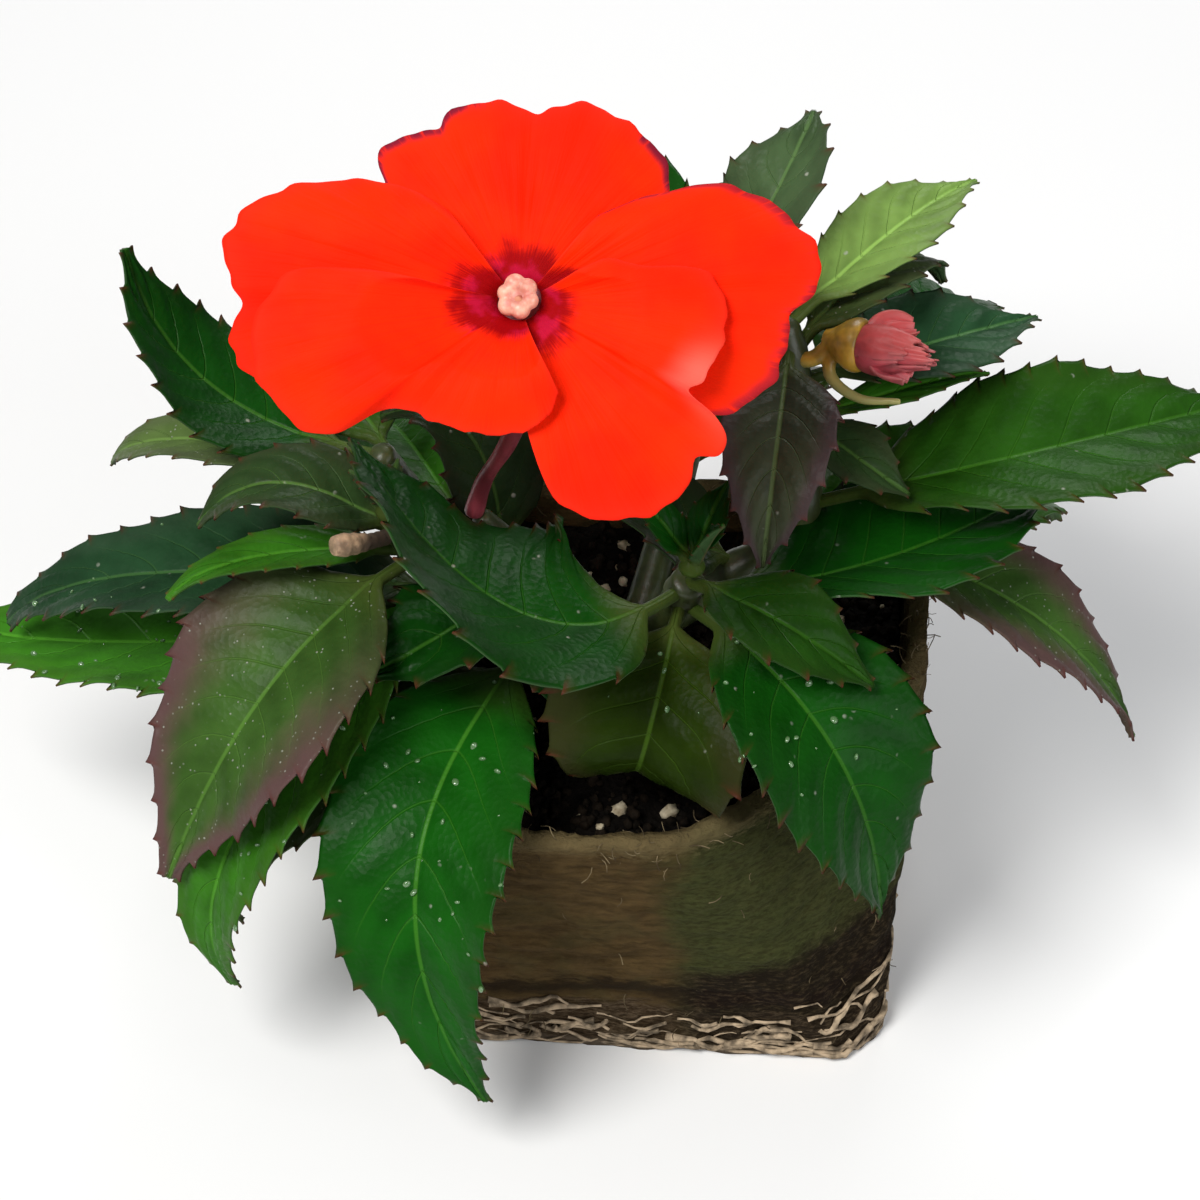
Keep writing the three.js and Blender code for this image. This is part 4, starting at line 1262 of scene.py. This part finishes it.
def pot_ring(settings, z, inset, points=44):
    """One level of the wall seen from above, anticlockwise, its front right corner pushed in."""
    share = z / (settings.height / MM)
    half = settings.half_base / MM * (1 - share) + settings.half_top / MM * share
    dent = DENT_AT_BASE * (1 - share) + DENT_AT_RIM * share
    reach = half - inset
    cut = 2 * half - dent - inset * math.sqrt(2) - reach
    turns = [
        (-reach, -reach, CORNER_BEND), (cut, -reach, dent * 0.3), (reach, -cut, dent * 0.3),
        (reach, reach, CORNER_BEND), (-reach, reach, CORNER_BEND),
    ]
    t = np.linspace(0, 1, 13)[:, None]
    ring = []
    for k, (x, y, bend) in enumerate(turns):
        here = np.array((x, y))
        before = np.array(turns[k - 1][:2])
        after_x, after_y, after_bend = turns[(k + 1) % 5]
        after = np.array((after_x, after_y))
        into = here + (before - here) / np.linalg.norm(before - here) * bend
        leave = here + (after - here) / np.linalg.norm(after - here) * bend
        arrive = after + (here - after) / np.linalg.norm(here - after) * after_bend
        ring.append((1 - t) ** 2 * into + 2 * t * (1 - t) * here + t ** 2 * leave)
        ring.append(leave + (arrive - leave) * np.linspace(0, 1, points)[1:-1, None])
    flat = np.vstack(ring)
    return np.column_stack((flat, np.full(len(flat), float(z))))


def wall_point(settings, z, place, inset):
    """A point at a share of the way round one level of the wall."""
    ring = pot_ring(settings, z, inset, 6)
    ring = np.vstack((ring, ring[:1]))
    return spread_along(ring, [place % 1.0])[0][0]


def roughened(rings, height, streak, seed):
    """Push points out of the wall by a fibrous noise."""
    shaped = np.array(rings)
    for row in shaped:
        for point in row:
            out = point[:2] / max(np.linalg.norm(point[:2]), 1e-6)
            x, y, z = point
            coarse = noise.noise(Vector((x * 0.16 + seed, y * 0.16, z * 0.16 * streak)))
            fine = noise.noise(Vector((x * 0.55, y * 0.55 + seed, z * 0.55 * streak)))
            point[:2] += out * height * (coarse + 0.55 * fine)
    return shaped


def fibre_finish(settings):
    """Damp pressed fibre: level streaks, dry rim, stains, a mossy dent and a root-bound foot."""
    finish = Finish("pressed_fibre")
    z = finish.side("Z")
    x = finish.side("X")
    y = finish.side("Y")
    streak = finish.cloud(210, 7, 0.7, finish.stretched((1.0, 1.0, 4.0)))
    hair = finish.cloud(700, 5, 0.7, finish.stretched((1.0, 1.0, 3.0)))
    patch = finish.cloud(42, 4)
    colour = finish.mottled(streak.ramp(0.34, 0.66), settings.wall_colour, 0.66, 1.3)
    colour = finish.mixed(patch.ramp(0.56, 0.72) * 0.5, colour, (0.1, 0.05, 0.018))
    colour = finish.mixed(finish.cloud(120, 3).ramp(0.5, 0.62) * 0.35, colour, (0.075, 0.062, 0.024))
    colour = finish.mixed(patch.ramp(0.42, 0.3) * 0.5, colour, (0.022, 0.015, 0.008))

    corner = x - y + (patch - 0.5) * 0.02
    dent = corner.ramp(0.036, 0.044)
    mossy = finish.mottled(hair.ramp(0.35, 0.6), settings.moss_colour, 0.5, 1.0)
    colour = finish.mixed(dent * 0.85, colour, mossy)

    level = z + (patch - 0.5) * 0.012 + (streak - 0.5) * 0.006
    seam = level.ramp(0.0125, 0.0142) * level.ramp(0.0178, 0.0158)
    colour = finish.mixed(seam * 0.75, colour, (0.012, 0.008, 0.005))
    sodden = (level - (x - y) * 0.16).ramp(0.0165, 0.0125) * dent
    wet = finish.mixed(hair.ramp(0.45, 0.7), (0.011, 0.006, 0.004), (0.055, 0.036, 0.02))
    colour = finish.mixed(sodden * 0.9, colour, wet)
    foot = level.ramp(0.013, 0.01) * (1 - dent * 0.6)
    rooted = finish.mixed(hair.ramp(0.4, 0.68), (0.03, 0.018, 0.01), (0.15, 0.105, 0.065))
    colour = finish.mixed(foot * 0.8, colour, rooted)

    hem = (z + (hair - 0.5) * 0.002).ramp(0.0022, 0.001)
    colour = finish.mixed(hem * 0.7, colour, (0.2, 0.155, 0.11))
    rim = (z + (hair - 0.5) * 0.006).ramp(0.0472, 0.0498)
    colour = finish.mixed(rim * 0.65, colour, settings.rim_colour)
    colour = finish.mixed(hair.ramp(0.6, 0.78) * 0.3, colour, (0.19, 0.15, 0.085))
    relief = hair * 0.9 + streak * 0.5 + finish.cells(800) * 0.3
    return finish.finished(colour, 0.88 + hair * 0.1, relief, 0.0012, 0.9, specular_ior_level=0.06)


class IMPATIENS_OT_pot(bpy.types.Operator):
    """Form the soft fibre pot with its torn rim"""

    bl_idname = "impatiens.pot"
    bl_label = "Pot"

    def execute(self, context):
        settings = context.scene.impatiens_pot
        top = settings.height / MM
        wall = settings.wall / MM
        fray = settings.fray / MM
        outer = roughened([pot_ring(settings, z, 0) for z in np.linspace(0, top, 46)], 0.75, 2.6, 3.0)
        inner_levels = np.linspace(top, POT_FLOOR, 26)
        inner = roughened([pot_ring(settings, z, wall) for z in inner_levels], 0.7, 1.6, 9.0)
        outer[0, :, 2] = 0
        for row in (*outer, *inner):
            torn = smooth(0.86, 1.0, row[:, 2].mean() / top)
            lift = np.array([
                noise.noise(Vector((x * 0.11, y * 0.11, 2.5))) * 1.6
                + noise.noise(Vector((x * 0.9, y * 0.9, 7.5))) * 0.8 for x, y, _ in row
            ])
            row[:, 2] += lift * fray * 0.6 * torn
        middle = (outer[-1] + inner[0]) / 2 + (0, 0, 0.5)
        skin = Skin()
        skin.add_rings(np.concatenate((outer, middle[None], inner)))
        settle(skin.piece("fibre_pot", fibre_finish(settings)), "fibre", "pot")
        return {"FINISHED"}


class IMPATIENS_OT_soil(bpy.types.Operator):
    """Fill the pot with lumpy soil"""

    bl_idname = "impatiens.soil"
    bl_label = "Soil"

    def execute(self, context):
        settings = context.scene.impatiens_pot
        level = settings.soil_level / MM
        inset = settings.wall / MM + SOIL_GAP
        rings = [pot_ring(settings, z, inset) for z in (4.4, 12, 20, 28, 36, level)]
        edge = rings[-1]
        for share in np.linspace(0.985, 0.03, 56):
            ring = edge * (share, share, 1)
            for point in ring:
                place = Vector(point)
                lump = noise.noise(place * 0.12) * 1.2 + noise.noise(place * 0.42 + Vector((5, 5, 5))) * 0.9
                point[2] = level + 0.6 + (lump + noise.noise(place * 1.3) * 0.35)
            rings.append(ring)
        skin = Skin()
        skin.add_rings(rings)
        finish = Finish("potting_soil")
        grain = finish.cells(900)
        patch = finish.cloud(200, 5)
        colour = finish.mottled(patch.ramp(0.35, 0.7), settings.soil_colour, 0.5, 2.0)
        colour = finish.mixed(grain.ramp(0.25, 0.05) * 0.2, colour, (0.025, 0.018, 0.011))
        relief = patch + grain * 0.5
        material = finish.finished(colour, 0.82 + patch * 0.1, relief, 0.0012, 1.0, specular_ior_level=0.05)
        settle(skin.piece("soil_bed", material), "soil", "soil")
        return {"FINISHED"}


# Geometry node trees


class Growth:
    """A geometry node tree with named inputs, built one node at a time."""

    def __init__(self, name):
        self.tree = bpy.data.node_groups.new(name, "GeometryNodeTree")
        self.tree.interface.new_socket("Geometry", in_out="INPUT", socket_type="NodeSocketGeometry")
        self.tree.interface.new_socket("Geometry", in_out="OUTPUT", socket_type="NodeSocketGeometry")
        self.start = self.tree.nodes.new("NodeGroupInput")
        self.end = self.tree.nodes.new("NodeGroupOutput")
        self.sizes = {}

    def input(self, name, size, kind="NodeSocketFloat"):
        """A named input, with the size that the tree is run with."""
        socket = self.tree.interface.new_socket(name, in_out="INPUT", socket_type=kind)
        self.sizes[socket.identifier] = size
        return Value(self.tree, self.start.outputs[name])

    def geometry(self):
        return Value(self.tree, self.start.outputs["Geometry"])

    def node(self, kind, settings, inputs, output=0):
        return add_node(self.tree, kind, settings, inputs, output)

    def random(self, low, high, seed):
        """A random number for each point, or a random vector between two vectors."""
        if isinstance(low, tuple):
            return self.node(
                "FunctionNodeRandomValue", {"data_type": "FLOAT_VECTOR"}, {0: low, 1: high, "Seed": seed},
            )
        return self.node(
            "FunctionNodeRandomValue", {"data_type": "FLOAT"}, {2: low, 3: high, "Seed": seed}, 1,
        )

    def turned(self, angles):
        return self.node("FunctionNodeEulerToRotation", {}, [angles])

    def scattered(self, density, seed):
        """Random points on the faces, and their rotations."""
        points = self.node(
            "GeometryNodeDistributePointsOnFaces", {"distribute_method": "RANDOM"},
            {"Mesh": self.geometry(), "Density": density, "Seed": seed}, "Points",
        )
        return points, Value(self.tree, points.socket.node.outputs["Rotation"])

    def tube(self, curve, sides, radius, **inputs):
        """A capped round tube along a curve."""
        profile = self.node(
            "GeometryNodeCurvePrimitiveCircle", {"mode": "RADIUS"}, {"Resolution": sides, "Radius": radius},
        )
        return self.node(
            "GeometryNodeCurveToMesh", {},
            {"Curve": curve, "Profile Curve": profile, "Fill Caps": True, **inputs},
        )

    def grown(self, made, material, piece, name):
        """Realize and paint what was made, run the tree on a piece and keep the plain mesh."""
        real = self.node("GeometryNodeRealizeInstances", {}, {"Geometry": made})
        painted = self.node("GeometryNodeSetMaterial", {}, {"Geometry": real, "Material": material})
        self.tree.links.new(painted.socket, self.end.inputs["Geometry"])
        modifier = piece.modifiers.new(name, "NODES")
        modifier.node_group = self.tree
        for identifier, size in self.sizes.items():
            modifier[identifier] = size
        return plain_mesh(piece, name, None)


def bed_of(name):
    """A second piece with a piece's mesh, for a tree to grow on."""
    return placed_piece(f"{name}_bed", bpy.data.objects[name].data.copy())


def strand_piece(name, strands):
    """A piece of loose edges, one chain for each strand, with a thickness at each point."""
    points, edges, thickness = [], [], []
    for strand, radii in strands:
        first = len(points)
        points.extend((np.asarray(strand) * MM).tolist())
        edges.extend((first + k, first + k + 1) for k in range(len(strand) - 1))
        thickness.extend(radii)
    mesh = bpy.data.meshes.new(name)
    mesh.from_pydata(points, edges, [])
    attribute = mesh.attributes.new("thickness", "FLOAT", "POINT")
    attribute.data.foreach_set("value", np.array(thickness, np.float32))
    return placed_piece(name, mesh)


def root_strands(settings):
    """Paths and radii of the roots that wander round the lower wall."""
    random = np.random.default_rng(31)
    strands = []
    for _ in range(settings.roots):
        place = random.uniform(0, 1)
        z = random.uniform(0.8, 12.0) * random.uniform(0.35, 1.0)
        heading = random.choice((-1, 1)) * random.uniform(0.003, 0.007)
        thick = random.choice((0.25, 0.45, 0.75)) * random.uniform(0.75, 1.25)
        sway = random.uniform(0, 6.28)
        points = []
        for k in range(int(random.integers(5, 15))):
            height = z + 1.1 * math.sin(sway + 0.55 * k) + 0.4 * math.sin(2.1 * sway + 1.4 * k)
            points.append(wall_point(settings, max(height, thick + 0.15), place, -0.45 * thick))
            place += heading
            z += random.normal(0, 0.3)
        share = np.linspace(0, 1, len(points))
        taper = (1 - 0.55 * share) * (0.75 + 0.25 * np.sin(share * 9 + sway))
        strands.append((points, thick * taper * MM))
    return strands


class IMPATIENS_OT_roots(bpy.types.Operator):
    """Lay the roots that have grown through the lower wall"""

    bl_idname = "impatiens.roots"
    bl_label = "Roots"

    def execute(self, context):
        settings = context.scene.impatiens_pot
        growth = Growth("root_strands")
        sides = growth.input("Sides", 5, "NodeSocketInt")
        curve = growth.node("GeometryNodeMeshToCurve", {}, {"Mesh": growth.geometry()})
        radius = growth.node("GeometryNodeInputNamedAttribute", {"data_type": "FLOAT"}, {"Name": "thickness"})
        finish = Finish("root_skin")
        patch = finish.cloud(500, 3)
        colour = finish.mottled(patch.ramp(0.3, 0.7), settings.root_colour, 0.18, 1.0)
        material = finish.finished(colour, 0.75, patch, 0.0003, 0.7, specular_ior_level=0.12)
        lines = strand_piece("root_lines", root_strands(settings))
        tubes = growth.tube(curve, sides, 1.0, Scale=radius)
        settle(growth.grown(tubes, material, lines, "wall_roots"), "fibre")
        return {"FINISHED"}


class IMPATIENS_OT_fibres(bpy.types.Operator):
    """Scatter loose fibres over the wall and along the torn rim"""

    bl_idname = "impatiens.fibres"
    bl_label = "Wall Fibres"

    def execute(self, context):
        settings = context.scene.impatiens_pot
        growth = Growth("wall_fibres")
        density = growth.input("Density", settings.fibres)
        place = growth.node("GeometryNodeInputPosition", {}, [])
        z = growth.node("ShaderNodeSeparateXYZ", {}, [place], "Z")
        on_rim, on_foot = z.ramp(0.043, 0.0495), z.ramp(0.016, 0.004)
        above_ground = z.ramp(0.0025, 0.004)
        points, upright = growth.scattered(density * above_ground * (0.1 + on_rim * 1.6 + on_foot * 0.3), 11)
        strand = growth.node("GeometryNodeCurvePrimitiveBezierSegment", {}, {
            "Resolution": 3, "Start": (0, 0, -0.0003), "Start Handle": (0.0001, 0, 0.0006),
            "End Handle": (0.0006, 0, 0.0012), "End": (0.0014, 0.0002, 0.0015),
        })
        lean = growth.random((-1.2, -1.2, 0.0), (1.2, 1.2, 6.28), 4)
        leaning = growth.node("FunctionNodeRotateRotation", {"rotation_space": "LOCAL"}, {
            "Rotation": upright, "Rotate By": growth.turned(lean),
        })
        placed = growth.node("GeometryNodeInstanceOnPoints", {}, {
            "Points": points, "Instance": growth.tube(strand, 3, 0.00007), "Rotation": leaning,
            "Scale": growth.random(0.45, 1.35, 8),
        })
        finish = Finish("fibre_hair")
        patch = finish.cloud(300, 3)
        colour = finish.mixed(patch.ramp(0.35, 0.65), (0.05, 0.035, 0.018), (0.24, 0.185, 0.1))
        material = finish.finished(colour, 0.9, specular_ior_level=0.2)
        settle(growth.grown(placed, material, bed_of("fibre_pot"), "loose_fibres"), "fibre")
        return {"FINISHED"}


def scattered_grains(name, material, bed, count, low, high, seed, squash=0.75, rough=1.5):
    """Scatter lumps over a piece's level faces; rough is how uneven each lump is."""
    growth = Growth(name)
    density = growth.input("Density", count)
    smallest = growth.input("Smallest", low)
    largest = growth.input("Largest", high)
    normal = growth.node("GeometryNodeInputNormal", {}, [])
    level = growth.node("ShaderNodeSeparateXYZ", {}, [normal], "Z").ramp(0.3, 0.6)
    points, _ = growth.scattered(density * level, seed)
    ball = growth.node("GeometryNodeMeshIcoSphere", {}, {"Radius": 1.0, "Subdivisions": 2})
    bumps = growth.node("ShaderNodeTexNoise", {}, {"Scale": 1.1, "Detail": 1.0}, "Color")
    push = growth.node("ShaderNodeVectorMath", {"operation": "SUBTRACT"}, [bumps, (0.5, 0.5, 0.5)])
    push = growth.node("ShaderNodeVectorMath", {"operation": "SCALE"}, {0: push, "Scale": rough})
    lump = growth.node("GeometryNodeSetPosition", {}, {"Geometry": ball, "Offset": push})
    size = growth.random(smallest, largest, seed + 2)
    placed = growth.node("GeometryNodeInstanceOnPoints", {}, {
        "Points": points, "Instance": lump,
        "Rotation": growth.turned(growth.random((0, 0, 0), (6.28, 6.28, 6.28), seed + 1)),
        "Scale": growth.node("ShaderNodeCombineXYZ", {}, [size, size * 0.8, size * squash]),
    })
    return growth.grown(placed, material, bed, name)


class IMPATIENS_OT_grains(bpy.types.Operator):
    """Scatter bark crumbs and perlite over the soil"""

    bl_idname = "impatiens.grains"
    bl_label = "Soil Grains"

    def execute(self, context):
        for name, (deep, pale, count, low, high, seed) in SOIL_GRAINS.items():
            finish = Finish(name)
            patch = finish.cloud(420, 4)
            colour = finish.mixed(patch.ramp(0.35, 0.65), deep, pale)
            material = finish.finished(colour, 0.8, patch, 0.0006, 1.0, specular_ior_level=0.06)
            settle(scattered_grains(name, material, bed_of("soil_bed"), count, low, high, seed), "soil")
        return {"FINISHED"}


class IMPATIENS_OT_drops(bpy.types.Operator):
    """Set water drops on the wet leaves"""

    bl_idname = "impatiens.drops"
    bl_label = "Water Drops"

    def execute(self, context):
        material = Finish("water").finished((0.1, 0.2, 0.08), 0.05, specular_ior_level=1.0)
        for name, count in WET_LEAVES.items():
            bed = bed_of(f"blade_{name}")
            drops = scattered_grains(f"drops_{name}", material, bed, count, 0.00015, 0.0007, 61, 0.5, 0.0)
            settle(drops, LEAF_SLOTS[LEAVES[name][6]])
        return {"FINISHED"}


# Stage


def aim(piece, place, target):
    """Set a light or the camera at a place, looking at the target."""
    piece.location = place
    piece.rotation_euler = (target - place).to_track_quat("-Z", "Y").to_euler()


class IMPATIENS_OT_stage(bpy.types.Operator):
    """Lay the pale floor, hang the soft lights and aim the camera"""

    bl_idname = "impatiens.stage"
    bl_label = "Stage"

    def execute(self, context):
        scene = context.scene
        mesh = bpy.data.meshes.new("floor")
        mesh.from_pydata([(-4, -4, 0), (4, -4, 0), (4, 4, 0), (-4, 4, 0)], [], [(0, 1, 2, 3)])
        finish = Finish("pale_floor")
        grain = finish.cloud(3.0, 2)
        colour = finish.mixed(grain, (0.84, 0.84, 0.835), (0.87, 0.87, 0.865))
        mesh.materials.append(finish.finished(colour, 0.75))
        placed_piece("floor", mesh)

        world = bpy.data.worlds.new("studio")
        world.use_nodes = True
        sky = world.node_tree.nodes["Background"]
        sky.inputs["Color"].default_value = (0.93, 0.95, 1.0, 1.0)
        sky.inputs["Strength"].default_value = 0.22
        scene.world = world
        scene.view_settings.view_transform = "Standard"

        lights = (
            ("key_light", (-0.35, -0.4, 0.85), 0.45, 9.0, (1.0, 0.99, 0.97)),
            ("fill_light", (0.6, -0.5, 0.5), 0.6, 3.0, (0.97, 0.98, 1.0)),
            ("rim_light", (0.1, 0.7, 0.6), 0.4, 2.6, (1.0, 1.0, 1.0)),
        )
        target = Vector((-0.0105, 0.0, 0.061))
        for name, place, size, power, colour in lights:
            lamp = bpy.data.lights.new(name, "AREA")
            lamp.shape = "DISK"
            lamp.size = size
            lamp.energy = power
            lamp.color = colour
            aim(placed_piece(name, lamp), Vector(place), target)

        camera = bpy.data.cameras.new("camera")
        camera.sensor_width = 36
        camera.lens = 103
        turn, climb = math.radians(4), math.radians(45)
        back = Vector((math.sin(turn) * math.cos(climb), -math.cos(turn) * math.cos(climb), math.sin(climb)))
        scene.camera = placed_piece("camera", camera)
        aim(scene.camera, target + back * 0.5, target)
        return {"FINISHED"}


class IMPATIENS_PT_panel(bpy.types.Panel):
    """Lists the steps that make the plant"""

    bl_idname = "IMPATIENS_PT_panel"
    bl_label = "Impatiens"
    bl_space_type = "VIEW_3D"
    bl_region_type = "UI"
    bl_category = "Impatiens"

    def draw(self, context):
        for step in STEPS:
            self.layout.operator(step.bl_idname)
        for group in ("impatiens_leaf", "impatiens_flower", "impatiens_pot"):
            settings = getattr(context.scene, group)
            box = self.layout.box()
            for key in settings.__annotations__:
                box.prop(settings, key)


STEPS = (
    IMPATIENS_OT_pot,
    IMPATIENS_OT_roots,
    IMPATIENS_OT_fibres,
    IMPATIENS_OT_soil,
    IMPATIENS_OT_grains,
    IMPATIENS_OT_stem,
    IMPATIENS_OT_leaves,
    IMPATIENS_OT_tufts,
    IMPATIENS_OT_petals,
    IMPATIENS_OT_column,
    IMPATIENS_OT_bloom_stalk,
    IMPATIENS_OT_bud,
    IMPATIENS_OT_spent_stalk,
    IMPATIENS_OT_drops,
    IMPATIENS_OT_stage,
)
GROUPS = (LeafSettings, FlowerSettings, PotSettings)


def register():
    for kind in (*GROUPS, *STEPS, IMPATIENS_PT_panel):
        bpy.utils.register_class(kind)
    bpy.types.Scene.impatiens_leaf = PointerProperty(type=LeafSettings)
    bpy.types.Scene.impatiens_flower = PointerProperty(type=FlowerSettings)
    bpy.types.Scene.impatiens_pot = PointerProperty(type=PotSettings)


def unregister():
    del bpy.types.Scene.impatiens_leaf
    del bpy.types.Scene.impatiens_flower
    del bpy.types.Scene.impatiens_pot
    for kind in (IMPATIENS_PT_panel, *reversed(STEPS), *reversed(GROUPS)):
        bpy.utils.unregister_class(kind)


def main():
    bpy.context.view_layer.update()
    register()
    for step in STEPS:
        group, name = step.bl_idname.split(".")
        getattr(getattr(bpy.ops, group), name)()


if __name__ == "__main__":
    main()
